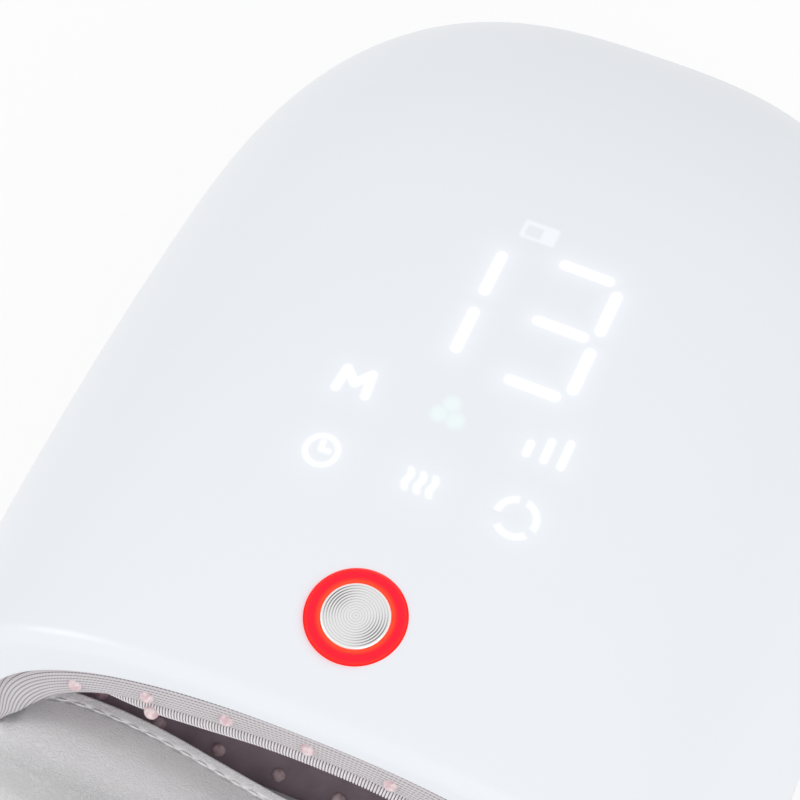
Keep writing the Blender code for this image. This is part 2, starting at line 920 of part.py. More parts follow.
def light_box(name, width, front, back):
    """An open box of white plastic that carries the light up to the roof."""
    low = display_board_top + clearance
    corners = [(x, y) for x in (-width / 2, width / 2) for y in (front, back)]
    high = min(roof_height(x, y) for x, y in corners) - wall - light_box_gap
    body = mesh_object(name, span_box((-width / 2, front, low), (width / 2, back, high)))
    place(body, white_plastic)
    edge = light_box_wall
    cut(
        body,
        span_box(
            (-width / 2 + edge, front + edge, low + light_box_floor),
            (width / 2 - edge, back - edge, high + overrun),
        ),
    )


def make_display(top_shell):
    """The board under the roof, with the two light boxes whose light shows through it."""
    half = display_board_width / 2
    low = (-half, display_board_front, display_board_top - display_board_thickness)
    board = mesh_object("display_board", span_box(low, (half, display_board_back, display_board_top)))
    place(board, board_green)
    light_box("digit_light_box", digit_box_width, digit_box_front, display_board_back)
    light_box("icon_light_box", icon_box_width, icon_box_front, icon_box_back)
    posts = []
    for x in (-half + display_post_inset, half - display_post_inset):
        for y in (display_board_front + display_post_inset, display_board_back - display_post_inset):
            top = roof_height(x, y) - wall / 2
            low = (x, y, display_board_top + clearance)
            posts.append(rod_shape(display_post_radius, low, (x, y, top), 12))
    join(top_shell, *posts)


# Feet and screws


def screw_profile(length):
    """A pan-headed screw, head down, from the top of its shank."""
    return [
        (0, length),
        (screw_radius, length),
        (screw_radius, 0),
        (screw_head_radius, 0),
        (screw_head_radius, -screw_head_thickness),
        (0, -screw_head_thickness),
    ]


def make_feet_and_base_screws(bottom_shell, lower_frame):
    """Rubber feet, each over a screw that goes up through the floor into the lower frame."""
    foot_profile = [
        (0, foot_thickness),
        (foot_radius, foot_thickness),
        (foot_radius, foot_rounding),
        (foot_radius - foot_rounding, 0),
        (0, 0),
    ]
    for end, y in (("front", front_foot_y), ("back", back_foot_y)):
        for side, x in (("left", -foot_x), ("right", foot_x)):
            turned(f"foot_{end}_{side}", foot_profile, rubber, location=(x, y, 0))
            head_top = screw_recess_top - clearance
            screw = screw_profile(base_screw_length)
            turned(f"base_screw_{end}_{side}", screw, steel, location=(x, y, head_top), steps=10)
            join(bottom_shell, rod_shape(sleeve_radius, (x, y, base_height + wall / 2), (x, y, sleeve_top)))
            cut(bottom_shell, rod_shape(screw_hole_radius, (x, y, 0), (x, y, sleeve_top + overrun), 12))
            cut(bottom_shell, rod_shape(screw_recess_radius, (x, y, 0), (x, y, screw_recess_top)))
            boss_bottom = sleeve_top + clearance
            layer = layer_bottom(x, y)
            boss = rod_shape(boss_radius, (x, y, boss_bottom), (x, y, layer + frame_boss_embed), 12)
            join(lower_frame, boss)
            bore_top = head_top + base_screw_length + clearance
            bore = rod_shape(screw_hole_radius, (x, y, boss_bottom - overrun), (x, y, bore_top), 12)
            cut(lower_frame, bore)


def layer_bottom(x, y):
    """Underside of the lower frame above a place."""
    share = (y - floor_layer_front) / (cavity_back - floor_layer_front)
    reach = lip_half_width - floor_frame_outer - cavity_squeeze * share**2
    depth = floor_depth + lining_inner - floor_frame_outer
    return lip_base - clearance / 2 - depth * (1 - (abs(x) / reach) ** lip_exponent) ** (1 / lip_exponent)


def make_frame_screws(top_shell, upper_frame, lower_frame):
    """Screws that hold both frames' flanges up against bosses in the roof."""
    flange_top = lip_base + clearance / 2 + flange_thickness
    flange_bottom = lip_base - clearance / 2 - flange_thickness
    for end, y in (("front", frame_screw_front_y), ("back", frame_screw_back_y)):
        for side, sign in (("left", -1), ("right", 1)):
            spot = frame_screw_place(y, sign)
            head_top = flange_bottom - clearance
            place_here = (spot.x, spot.y, head_top)
            screw = screw_profile(frame_screw_length)
            turned(f"frame_screw_{end}_{side}", screw, steel, location=place_here, steps=10)
            boss_low = (spot.x, spot.y, flange_top + clearance)
            boss_high = (spot.x, spot.y, roof_height(abs(spot.x) + boss_radius, spot.y) - wall)
            join(top_shell, rod_shape(boss_radius, boss_low, boss_high, 12))
            bore_high = (spot.x, spot.y, flange_top + frame_boss_bore_depth)
            bore_low = (spot.x, spot.y, flange_top - overrun)
            cut(top_shell, rod_shape(screw_hole_radius, bore_low, bore_high, 12))
            hole = ((spot.x, spot.y, flange_bottom - overrun), (spot.x, spot.y, flange_top + overrun))
            cut(upper_frame, rod_shape(screw_hole_radius, *hole, 12))
            cut(lower_frame, rod_shape(screw_hole_radius, *hole, 12))


# Battery, boards and leads


def make_battery():
    """Two round cells on a tray on the floor."""
    floor = base_height + wall
    tray_top = floor + clearance + tray_thickness
    reach = cell_length / 2 + clearance + tray_wall
    tray_low = (-reach, battery_y - tray_width / 2, floor + clearance)
    tray = mesh_object("battery_tray", span_box(tray_low, (reach, battery_y + tray_width / 2, tray_top)))
    place(tray, black_plastic)
    for side in (-1, 1):
        inner = side * (reach - tray_wall)
        outer = side * reach
        low = (min(inner, outer), battery_y - tray_width / 2, floor + clearance + tray_thickness / 2)
        high = (max(inner, outer), battery_y + tray_width / 2, tray_top + tray_height)
        join(tray, span_box(low, high))
    height = tray_top + clearance + cell_radius
    for name, side in (("battery_front", -1), ("battery_back", 1)):
        y = battery_y + side * cell_pitch / 2
        cell = rod_shape(cell_radius, (-cell_length / 2, y, height), (cell_length / 2, y, height))
        place(mesh_object(name, cell), cell_blue)
    return height


def make_main_board(bottom_shell):
    """The board with the pump's driver, on posts of the floor."""
    half = board_width / 2
    top = board_bottom + board_thickness
    board = mesh_object("main_board", span_box((-half, board_front, board_bottom), (half, board_back, top)))
    place(board, board_green)
    chip_low = (chip_x - chip_side / 2, chip_y - chip_side / 2, top - board_thickness / 2)
    chip_high = (chip_x + chip_side / 2, chip_y + chip_side / 2, top + chip_thickness)
    join(board, span_box(chip_low, chip_high))
    beeper_low = (beeper_x, beeper_y, top + clearance)
    beeper = rod_shape(beeper_radius, beeper_low, (beeper_x, beeper_y, top + clearance + beeper_height))
    place(mesh_object("beeper", beeper), black_plastic)
    for x in (-half + board_post_inset, half - board_post_inset):
        for y in (board_front + board_post_inset, board_back - board_post_inset):
            low = floor_height(x, y) - wall / 2
            high = (x, y, board_bottom - clearance)
            join(bottom_shell, rod_shape(board_post_radius, (x, y, low), high, 12))
    return top


def make_pump(bottom_shell):
    """Motor, crank case, diaphragm and cover in a row along X, in a saddle on the floor."""
    along_x = (0, math.pi / 2, 0)
    here = (motor_front_x, pump_y, pump_height)
    turned(
        "pump_motor",
        [
            (0, -motor_bore_depth),
            (motor_bore_radius, -motor_bore_depth),
            (motor_bore_radius, 0),
            (motor_radius, 0),
            (motor_radius, -motor_length),
            (0, -motor_length),
        ],
        steel,
        location=here,
        rotation=along_x,
    )
    crank_start = 3 * clearance
    shaft_low = (0, 0, -motor_bore_depth + clearance)
    shaft_high = (0, 0, crank_start + crank_thickness)
    shaft = mesh_object("motor_crank", rod_shape(shaft_radius, shaft_low, shaft_high, 12))
    place(shaft, steel, location=here, rotation=along_x)
    disc_end = crank_start + crank_thickness / 2
    eccentric = rod_shape(crank_radius, (crank_offset, 0, crank_start), (crank_offset, 0, disc_end))
    eccentric.transform(Matrix.Translation(here) @ Matrix.Rotation(math.pi / 2, 4, "Y"))
    pin_start = crank_start + crank_thickness / 4
    crank_pin = rod_shape(
        2 * shaft_radius,
        (2 * crank_offset, 0, pin_start),
        (2 * crank_offset, 0, pin_start + crank_thickness),
        12,
    )
    crank_pin.transform(Matrix.Translation(here) @ Matrix.Rotation(math.pi / 2, 4, "Y"))
    join(shaft, eccentric, crank_pin)
    head_start = clearance
    head_end = head_start + head_length
    turned(
        "pump_head",
        [
            (0, head_end),
            (motor_radius, head_end),
            (motor_radius, head_start),
            (head_bore_radius, head_start),
            (head_bore_radius, head_start + head_bore_depth),
            (0, head_start + head_bore_depth),
        ],
        grey_plastic,
        location=here,
        rotation=along_x,
    )
    diaphragm_start = head_end + clearance
    diaphragm_end = diaphragm_start + diaphragm_thickness
    turned(
        "pump_diaphragm",
        [
            (0, diaphragm_end),
            (diaphragm_radius, diaphragm_end),
            (diaphragm_radius, diaphragm_start),
            (0, diaphragm_start),
        ],
        rubber,
        location=here,
        rotation=along_x,
    )
    cover_start = diaphragm_end + clearance
    cover_x = motor_front_x + cover_start
    cover_end_x = cover_x + pump_cover_length
    cover_disc = rod_shape(motor_radius, (cover_x, pump_y, pump_height), (cover_end_x, pump_y, pump_height))
    cover = mesh_object("pump_cover", cover_disc)
    place(cover, grey_plastic)
    nozzle_x = (cover_x + cover_end_x) / 2
    nozzle_tip = pump_height + motor_radius + nozzle_length
    nozzle_low = (nozzle_x, pump_y, pump_height + motor_radius / 2)
    nozzle = rod_shape(nozzle_radius, nozzle_low, (nozzle_x, pump_y, nozzle_tip), 12)
    join(cover, nozzle)
    middle_x = motor_front_x - motor_length / 2
    saddle_low = (middle_x - saddle_length / 2, pump_y - saddle_width / 2, saddle_bottom)
    saddle_high = (middle_x + saddle_length / 2, pump_y + saddle_width / 2, saddle_bottom + saddle_height)
    saddle = place(mesh_object("pump_saddle", span_box(saddle_low, saddle_high)), rubber)
    cradle = motor_radius + clearance
    cut(
        saddle,
        rod_shape(
            cradle,
            (middle_x - saddle_length, pump_y, pump_height),
            (middle_x + saddle_length, pump_y, pump_height),
            2 * round_steps,
        ),
    )
    for x in (saddle_low[0] + saddle_post_inset, saddle_high[0] - saddle_post_inset):
        for y in (saddle_low[1] + saddle_post_inset, saddle_high[1] - saddle_post_inset):
            low = floor_height(x, y) - wall / 2
            high = (x, y, saddle_bottom - clearance)
            join(bottom_shell, rod_shape(saddle_post_radius, (x, y, low), high, 12))
    return Vector((nozzle_x, pump_y, nozzle_tip))


def helix(radius, start, pitch, turns, middle):
    """Points along a coil spring."""
    per_turn = 10
    points = []
    for i in range(turns * per_turn + 1):
        turn = 2 * math.pi * i / per_turn
        height = start + pitch * i / per_turn
        x = middle[0] + radius * math.cos(turn)
        points.append((x, middle[1] + radius * math.sin(turn), height))
    return points


def make_valve(bottom_shell):
    """The release valve: a block with air ways, a coil, and a sprung plunger in its bore."""
    half_x = valve_width / 2
    half_y = valve_depth / 2
    block_top = valve_bottom + valve_block_height
    block_low = (valve_x - half_x, pump_y - half_y, valve_bottom)
    block = mesh_object("valve_block", span_box(block_low, (valve_x + half_x, pump_y + half_y, block_top)))
    place(block, grey_plastic)
    bore = (valve_x, pump_y)
    bore_low = (*bore, block_top - valve_bore_depth)
    cut(block, rod_shape(valve_bore_radius, bore_low, (*bore, block_top + overrun)))
    coil_low = block_top + clearance
    coil_high = coil_low + valve_coil_length
    turned(
        "valve_coil",
        [
            (valve_bore_radius, coil_high),
            (valve_coil_radius, coil_high),
            (valve_coil_radius, coil_low),
            (valve_bore_radius, coil_low),
        ],
        copper,
        location=(*bore, 0),
    )
    spring_low = coil_high + clearance + spring_wire_radius
    spring_high = spring_low + spring_pitch * spring_turns
    head_low = spring_high + spring_wire_radius + clearance
    plunger_low = block_top - valve_bore_depth + valve_travel + clearance
    turned(
        "valve_plunger",
        [
            (0, head_low + valve_head_thickness),
            (valve_head_radius, head_low + valve_head_thickness),
            (valve_head_radius, head_low),
            (valve_plunger_radius, head_low),
            (valve_plunger_radius, plunger_low),
            (0, plunger_low),
        ],
        steel,
        location=(*bore, 0),
    )
    coils = helix(spring_radius, spring_low, spring_pitch, spring_turns, bore)
    tube("valve_spring", coils, spring_wire_radius, steel)
    least_gap = spring_pitch - 2 * spring_wire_radius
    print(f"valve spring: least gap {least_gap * 1000:.2f} mm, fixed end at {coil_high * 1000:.2f} mm")
    post_low = (*bore, floor_height(*bore) - wall / 2)
    join(bottom_shell, rod_shape(valve_post_radius, post_low, (*bore, valve_bottom - clearance), 12))


def airbag_port(x, outer, inner, upper):
    """Middle of an air bag's rear face at a distance from the centre line."""
    middle = (outer + inner) / 2
    reach = lip_half_width - middle - cavity_squeeze
    swing = (1 - (abs(x) / reach) ** lip_exponent) ** (1 / lip_exponent)
    if upper:
        z = lip_base + (lip_rise - middle - cavity_drop) * swing
    else:
        z = lip_base - (floor_depth + lining_inner - middle) * swing
    return Vector((x, cavity_back + clearance, z))


def make_hoses(nozzle_tip):
    """Air hoses from the pump to the valve block, and on to both air bags."""
    gap = Vector((0, 0, clearance))
    side_x = valve_x - valve_width / 2 - clearance
    high = Vector((0, 0, 2 * nozzle_length))
    port_z = valve_bottom + valve_block_height / 2
    start = nozzle_tip + gap
    end = Vector((side_x, pump_y, port_z))
    over = Vector(((start.x + end.x) / 2, pump_y, (start + high).z))
    before = end - Vector((nozzle_length / 2, 0, 0))
    tube("pump_hose", smooth_route([start, start + high / 2, over, before, end]), hose_radius, silicone)
    lower_port = airbag_port(valve_x, floor_airbag_outer, floor_airbag_inner, False)
    block_front = Vector((valve_x, pump_y - valve_depth / 2 - clearance, port_z))
    bend = Vector((0, nozzle_length / 3, 0))
    tube(
        "lower_airbag_hose",
        smooth_route([block_front, block_front - bend, lower_port + bend, lower_port]),
        airbag_hose_radius,
        silicone,
    )
    upper_port = airbag_port(valve_x, roof_airbag_outer, roof_airbag_inner, True)
    block_back = Vector((valve_x, pump_y + valve_depth / 2 + clearance, port_z))
    away = Vector((0, nozzle_length, 0))
    behind = block_back + away
    tube(
        "upper_airbag_hose",
        smooth_route(
            [
                block_back,
                behind + gap,
                Vector((behind.x, behind.y, (behind.z + upper_port.z) / 2)),
                upper_port + 2 * away,
                upper_port,
            ]
        ),
        airbag_hose_radius,
        silicone,
    )


def back_wall_y(z):
    """Where the outer back wall is at a height below the seam, in the middle."""
    gap = ((seam_height - z) / base_depth) ** base_exponent
    return closing_start + (body_length / 2 - closing_start) * (1 - gap) ** (1 / closing_exponent)


def rounded_bar(half_width_x, half_height, start_y, end_y, rounding):
    """A bar along Y at the port's height, with its long edges rounded."""
    low = (-half_width_x, start_y, port_height - half_height)
    shape = span_box(low, (half_width_x, end_y, port_height + half_height))
    long_edges = [edge for edge in shape.edges if abs((edge.verts[0].co - edge.verts[1].co).y) > half_height]
    bmesh.ops.bevel(shape, geom=long_edges, offset=rounding, segments=3, profile=0.5, affect="EDGES")
    return shape


def make_port(bottom_shell):
    """The charging inlet in the back wall, on its own small board."""
    half = port_width / 2
    thick = port_thickness / 2
    mouth = back_wall_y(port_height) - port_recess
    port = mesh_object("charging_port", rounded_bar(half, thick, mouth - port_length, mouth, port_rounding))
    place(port, steel)
    inner_rounding = port_rounding - port_wall
    far_end = mouth - port_length + 2 * port_wall
    hollow = rounded_bar(half - port_wall, thick - port_wall, far_end, mouth + overrun, inner_rounding)
    cut(port, hollow)
    tongue_high = port_height + port_tongue_thickness / 2
    tongue_low = port_height - port_tongue_thickness / 2
    tongue = span_box(
        (-port_tongue_width / 2, mouth - port_length + port_wall, tongue_low),
        (port_tongue_width / 2, mouth - port_recess, tongue_high),
    )
    join(port, tongue)
    opening = rounded_bar(
        half + clearance,
        thick + clearance,
        mouth - port_length / 2,
        mouth + port_length,
        port_rounding + clearance,
    )
    cut(bottom_shell, opening)
    board_top = port_height - thick - clearance
    board_back = mouth - port_board_back
    board_low = (-port_board_width / 2, board_back - port_board_length, board_top - port_board_thickness)
    board = mesh_object("port_board", span_box(board_low, (port_board_width / 2, board_back, board_top)))
    place(board, board_green)
    for x in (-port_board_width / 2 + port_post_radius, port_board_width / 2 - port_post_radius):
        y = board_low[1] + port_post_radius
        low = floor_height(x, y) - wall / 2
        high = (x, y, board_low[2] - clearance)
        join(bottom_shell, rod_shape(port_post_radius, (x, y, low), high, 12))
    return Vector((port_board_width / 4, board_low[1] - clearance, board_top - port_board_thickness / 2))


def make_leads(cell_height, board_top, port_exit):
    """Wires from the battery, motor, port and heating film to the main board."""
    rest = board_top + clearance + lead_radius
    right = cell_length / 2 + clearance
    past = tray_wall + 2 * lead_radius
    cell_y = battery_y + cell_pitch / 2
    cell_top = cell_height + cell_radius - 2 * lead_radius - clearance
    tube(
        "battery_lead",
        smooth_route(
            [
                (right, cell_y, cell_top),
                (right + 2 * past, cell_y + past, cell_top),
                (right + past, board_front - past, rest + past),
                (board_width / 2 - past, board_front + 2 * past, rest),
                (board_width / 2 - 3 * past, board_front + 3 * past, rest),
            ]
        ),
        lead_radius,
        rubber,
    )
    motor_back = motor_front_x - motor_length - clearance
    motor_side = pump_y - motor_radius
    tube(
        "motor_lead",
        smooth_route(
            [
                (motor_back, pump_y, pump_height),
                (motor_back - past / 2, pump_y, pump_height),
                (motor_back - past, pump_y - past / 2, pump_height - past / 2),
                (motor_back - past / 2, motor_side + past / 2, rest + past),
                (-board_width / 2 - past / 4, motor_side - past, rest + past / 2),
                (-board_width / 2 + past, board_back + past / 2, rest + lead_radius),
                (-board_width / 2 + 2 * past, board_back - 2 * past, rest),
            ]
        ),
        lead_radius,
        rubber,
    )
    lead_x = ribbon_x + ribbon_width / 2 + 2 * lead_radius
    cover_side = pump_y + motor_radius
    tube(
        "port_lead",
        smooth_route(
            [
                port_exit,
                port_exit + Vector((0, -past / 2, 0)),
                (lead_x - past, cover_side, (rest + port_exit.z) / 2 - past),
                (lead_x, pump_y, rest + lead_radius),
                (lead_x, motor_side - past, rest),
                (lead_x, board_back - 2 * past, rest),
            ]
        ),
        lead_radius,
        rubber,
    )
    film_x = -2 * chip_side
    film = airbag_port(film_x, heating_film_outer, heating_film_inner, False)
    film += Vector((0, clearance, 0))
    tube(
        "heater_lead",
        smooth_route(
            [
                film,
                film + Vector((0, past / 2, -past)),
                (film.x, film.y, (film.z + rest) / 2),
                (film.x, board_back + past, rest + past),
                (film.x, board_back - past, rest),
                (film.x, board_back - 2 * past, rest),
            ]
        ),
        lead_radius,
        rubber,
    )


def make_ribbon(board_top):
    """The flat cable from the display down behind the cavity to the main board."""
    rest = board_top + clearance + ribbon_thickness / 2
    start_z = display_board_top - display_board_thickness / 2
    behind = cavity_back + clearance + end_panel_thickness + port_thickness
    step = port_thickness
    route = smooth_route(
        [
            (ribbon_x, display_board_back + clearance, start_z),
            (ribbon_x, display_board_back + 3 * step, start_z),
            (ribbon_x, behind - step, start_z - step),
            (ribbon_x, behind, start_z - 3 * step),
            (ribbon_x, behind, (start_z + rest) / 2),
            (ribbon_x, behind, rest + 3 * step),
            (ribbon_x, behind - 2 * step, rest + step / 2),
            (ribbon_x, board_back, rest + step / 4),
            (ribbon_x, board_back - step / 2, rest),
        ]
    )
    rings = []
    for i, point in enumerate(route):
        ahead = route[min(i + 1, len(route) - 1)] - route[max(i - 1, 0)]
        ahead.normalize()
        out = Vector((0, -ahead.z, ahead.y)) * ribbon_thickness / 2
        side = Vector((ribbon_width / 2, 0, 0))
        rings.append([point + side + out, point - side + out, point - side - out, point + side - out])
    place(mesh_object("display_ribbon", loft("display_ribbon", rings)), cell_blue)


def make_button_lead():
    """The short wire between the button's board and the display board."""
    marker = bpy.data.objects["button_axis"]
    board_half = button_board_side / 2
    height = -switch_top - switch_height - clearance - button_board_thickness / 2
    turn = Matrix.Translation(marker.location) @ Matrix.Rotation(marker.rotation_euler.x, 4, "X")
    start = turn @ Vector((0, board_half + clearance, height))
    end = Vector((0, display_board_front - clearance, display_board_top - display_board_thickness / 2))
    tube("button_lead", [start, end], lead_radius, rubber)


top_shell = make_top_shell()
bottom_shell = make_bottom_shell()
make_knit_trim()
make_ribbed_piping()
make_palm_rest()
make_carrier()
make_layer("upper_lining", lining_outer, lining_inner, True, knit)
make_layer("upper_airbag", roof_airbag_outer, roof_airbag_inner, True, airbag_film)
upper_frame = make_layer("upper_frame", roof_frame_outer, roof_frame_inner, True, grey_plastic, flange=True)
make_layer("lower_lining", lining_outer, lining_inner, False, knit)
make_layer("heating_film", heating_film_outer, heating_film_inner, False, copper)
make_layer("lower_airbag", floor_airbag_outer, floor_airbag_inner, False, airbag_film)
lower_frame = make_layer(
    "lower_frame", floor_frame_outer, floor_frame_inner, False, grey_plastic, flange=True
)
make_end_panel()
make_button(top_shell)
make_display(top_shell)
make_button_lead()
make_frame_screws(top_shell, upper_frame, lower_frame)
make_feet_and_base_screws(bottom_shell, lower_frame)
cell_height = make_battery()
board_top = make_main_board(bottom_shell)
nozzle_tip = make_pump(bottom_shell)
make_valve(bottom_shell)
make_hoses(nozzle_tip)
port_exit = make_port(bottom_shell)
make_leads(cell_height, board_top, port_exit)
make_ribbon(board_top)

bpy.context.view_layer.update()
cushion = bpy.data.objects["palm_rest"].evaluated_get(bpy.context.evaluated_depsgraph_get())
front_reach = min(corner[1] for corner in cushion.bound_box)
centre.location.y = -(front_reach + body_length / 2) / 2
print(f"the housing's middle is {centre.location.y * 1000:.2f} mm behind the part's")
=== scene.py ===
# %% [markdown]
# # A hand massager
#
# This notebook dresses a hand massager: a white, softly crowned housing with a lit display, a round power button
# in a red light ring, and a padded mouth with a leather palm rest. The construction, with every piece at its real
# size, is already in the frame that the first cell loads. What is left is the looks: smooth shells in place of the
# coarse ones, and a finish for every surface.

import json
import math

import bmesh
import bpy
import numpy as np
from mathutils import Matrix, Vector, noise
from mathutils.bvhtree import BVHTree


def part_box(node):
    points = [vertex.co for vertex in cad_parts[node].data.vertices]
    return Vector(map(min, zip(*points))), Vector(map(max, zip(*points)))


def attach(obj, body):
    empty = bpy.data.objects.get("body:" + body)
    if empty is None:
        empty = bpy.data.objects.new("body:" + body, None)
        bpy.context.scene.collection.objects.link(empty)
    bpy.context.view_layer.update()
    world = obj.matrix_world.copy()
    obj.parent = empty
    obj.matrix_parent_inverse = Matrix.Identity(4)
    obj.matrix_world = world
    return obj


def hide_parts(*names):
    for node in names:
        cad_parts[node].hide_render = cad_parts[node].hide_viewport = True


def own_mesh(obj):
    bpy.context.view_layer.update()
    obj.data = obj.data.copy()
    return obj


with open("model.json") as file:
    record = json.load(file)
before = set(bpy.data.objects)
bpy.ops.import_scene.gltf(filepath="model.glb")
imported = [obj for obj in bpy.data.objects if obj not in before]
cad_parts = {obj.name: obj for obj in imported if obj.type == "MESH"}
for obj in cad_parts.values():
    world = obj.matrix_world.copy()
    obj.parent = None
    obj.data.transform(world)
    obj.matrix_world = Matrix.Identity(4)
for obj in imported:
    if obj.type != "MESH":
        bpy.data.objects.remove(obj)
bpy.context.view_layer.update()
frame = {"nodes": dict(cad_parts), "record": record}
nodes = frame["nodes"]

# %% [markdown]
# The housing is a superellipse in three directions. A superellipse with an exponent of 2 is an ellipse, and a
# larger exponent pushes the sides out towards a box. One formula gives the plan, one the cross-section and one the
# way the back closes, so a handful of real sizes describe the whole shape, and any mesh of it can be as fine as it
# needs to be. The formulas work about the middle of the housing; a shift read from the frame then puts them in place.

# %% The housing's rule
body_width = 0.165
body_length = 0.1967
seam_height = 0.0471
roof_rises = (0.0532, 0.0562, 0.0425)
closing_start = 0.0136
taper_shares = (-0.051, 0.221)
plan_power = 2.86
roof_power = 2.30
closing_power = 2.73
base_power = 3.0
base_height = 0.003
base_depth = 0.0481
wall = 0.0025
gap = 0.0003
rim_radius = 0.003

shift = Vector((0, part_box("top_shell")[1].y - body_length / 2, 0))
print(f"housing's middle: {1000 * shift.y:.2f} mm behind the part's")


def keep_sign(value, power):
    """A power that keeps its sign, for whole arrays."""
    return np.sign(value) * np.abs(value) ** power


def roof_rise(y):
    """Height of the roof above the seam along the middle, a parabola through mouth, middle and back."""
    s = y / body_length + 0.5
    mouth, middle, back = roof_rises
    return mouth * (1 - s) * (1 - 2 * s) + 4 * middle * s * (1 - s) + back * s * (2 * s - 1)


def half_width(y):
    """Half the housing's width, before the back closes."""
    s = y / body_length + 0.5
    return body_width / 2 * (1 - taper_shares[0] * s - taper_shares[1] * s**2)


def openness(y, inset=0.0):
    """1 along the housing, falling to 0 where the back closes."""
    t = np.clip((y - closing_start) / (body_length / 2 - inset - closing_start), 0, 1)
    return 1 - t**closing_power


def roof_height(x, y):
    """Height of the outer roof above a place."""
    left = openness(y) - (np.abs(x) / half_width(y)) ** plan_power
    return seam_height + roof_rise(y) * np.maximum(left, 0) ** (1 / roof_power)


# %% [markdown]
# The mouth is an arch in a plane that leans back a little. Its legs flare out where they meet the seam between
# the shells. Everything that lines the mouth follows the same arch at its own distance in from the lip, so the
# arch is one function of an angle, an inset and a setback.

# %% The mouth's rule
lip_half_width = 0.068
lip_rise = 0.0428
lip_base = 0.0526
lip_front = -0.0982
lip_power = 2.29
lip_lean = 0.123
lip_flare = 0.004
flare_start = 0.0600
leg_points = 4


def front_y(z):
    """The plane of the mouth, which leans back above the seam."""
    return lip_front + lip_lean * (np.maximum(z, seam_height) - lip_base)


def housing_grid(angles, shares, inset, upper, setback=0.0):
    """Points of the surface at every share of the way back and every angle round the section.

    The front leans, so how far back a point lies depends on its height. Both settle within a few rounds.
    """
    angle, share = np.meshgrid(angles, shares)
    end = body_length / 2 - inset
    x_turn = keep_sign(np.cos(angle), 2 / plan_power)
    z = np.full(angle.shape, seam_height)
    for _ in range(4):
        front = front_y(z) + setback
        y = front + share * (end - front)
        left = openness(y, inset)
        x = (half_width(y) - inset) * left ** (1 / plan_power) * x_turn
        rise = np.abs(np.sin(angle))
        if upper:
            z = seam_height + (roof_rise(y) - inset) * (left * rise**2) ** (1 / roof_power)
        else:
            z = seam_height - (base_depth - inset) * (left * rise**2) ** (1 / base_power)
            z = np.maximum(z, base_height + inset)
    return np.stack([x, y, z], axis=-1)


def arch_turns(count):
    """How far out and how far up the arch is at each of its points, from the right leg's foot to the left one's."""
    swept = np.linspace(0, math.pi, count + 1)
    turns = np.concatenate([np.zeros(leg_points), swept, np.full(leg_points, math.pi)])
    return keep_sign(np.cos(turns), 2 / lip_power), np.abs(np.sin(turns)) ** (2 / lip_power)


def arch(count, inset=0.0, setback=0.0, foot=0.0):
    """Points of the lip from foot to foot, at a distance in from it and behind the mouth's plane."""
    out, swing = arch_turns(count)
    x = (lip_half_width - inset) * out
    z = lip_base + (lip_rise - inset) * swing
    leg = np.linspace(seam_height + foot, lip_base, leg_points + 1)[:-1]
    z[:leg_points] = leg
    z[-leg_points:] = leg[::-1]
    share = np.clip((flare_start - z) / (flare_start - seam_height), 0, 1)
    x = x + np.sign(x) * lip_flare * share**1.5
    return np.stack([x, front_y(z) + setback, z], axis=-1)


print("roof over the middle:", round(1000 * float(roof_height(0.0, 0.0)), 1), "mm")

# %% [markdown]
# Meshes here are grids of points: rows of a shape that repeats along a path. A few helpers turn a grid into faces,
# close it, and move it to its place, so that each object ends at the origin with its place in its mesh.

# %% Mesh helpers
sharp_degrees = 35
weld_distance = 1e-6


def grid_mesh(name, rows, around=False, caps=False):
    """A mesh from rows of points. Rows may close on themselves, and the first and last may be capped."""
    rows = np.asarray(rows)
    count, width = rows.shape[:2]
    shape = bmesh.new()
    verts = [[shape.verts.new(point) for point in row] for row in rows.tolist()]
    for a in range(count - 1):
        for b in range(width if around else width - 1):
            c = (b + 1) % width
            shape.faces.new((verts[a][b], verts[a][c], verts[a + 1][c], verts[a + 1][b]))
    if caps:
        shape.faces.new(verts[0])
        shape.faces.new(verts[-1])
    bmesh.ops.remove_doubles(shape, verts=shape.verts, dist=weld_distance)
    bmesh.ops.recalc_face_normals(shape, faces=shape.faces)
    mesh = bpy.data.meshes.new(name)
    shape.to_mesh(mesh)
    shape.free()
    mesh.transform(Matrix.Translation(shift))
    return mesh


def add_object(name, data):
    """An object in the scene."""
    obj = bpy.data.objects.new(name, data)
    bpy.context.scene.collection.objects.link(obj)
    return obj


def sharpen(obj, degrees=sharp_degrees):
    """Keeps the edges crisp where faces meet at more than an angle."""
    obj.data.set_sharp_from_angle(angle=math.radians(degrees))


def piece(name, mesh, finish, degrees=sharp_degrees):
    """A mesh in the scene with its finish, smooth but for its sharp edges."""
    obj = add_object(name, mesh)
    mesh.materials.clear()
    mesh.materials.append(finish.material)
    mesh.shade_smooth()
    sharpen(obj, degrees)
    return obj


def settle(obj):
    """The object with its modifiers worked into its mesh."""
    graph = bpy.context.evaluated_depsgraph_get()
    mesh = bpy.data.meshes.new_from_object(obj.evaluated_get(graph))
    obj.modifiers.clear()
    obj.data = mesh
    return obj


def carve(obj, tool, operation="DIFFERENCE"):
    """Cuts one object from another, or joins it on, and then removes it."""
    step = obj.modifiers.new("carve", "BOOLEAN")
    step.operation = operation
    step.solver = "EXACT"
    step.object = tool
    settle(obj)
    bpy.data.objects.remove(tool)
    sharpen(obj)


def distances_along(line):
    """How far along a line of points each of its points lies."""
    return np.concatenate([[0], np.linalg.norm(np.diff(line, axis=0), axis=1).cumsum()])


def keep_values(mesh, label, values):
    """Stores a number or a vector for every point of a mesh, for a material or a geometry tree to read."""
    values = np.asarray(values, dtype=float)
    single = values.ndim == 1
    layer = mesh.attributes.new(label, "FLOAT" if single else "FLOAT_VECTOR", "POINT")
    layer.data.foreach_set("value" if single else "vector", values.reshape(-1))


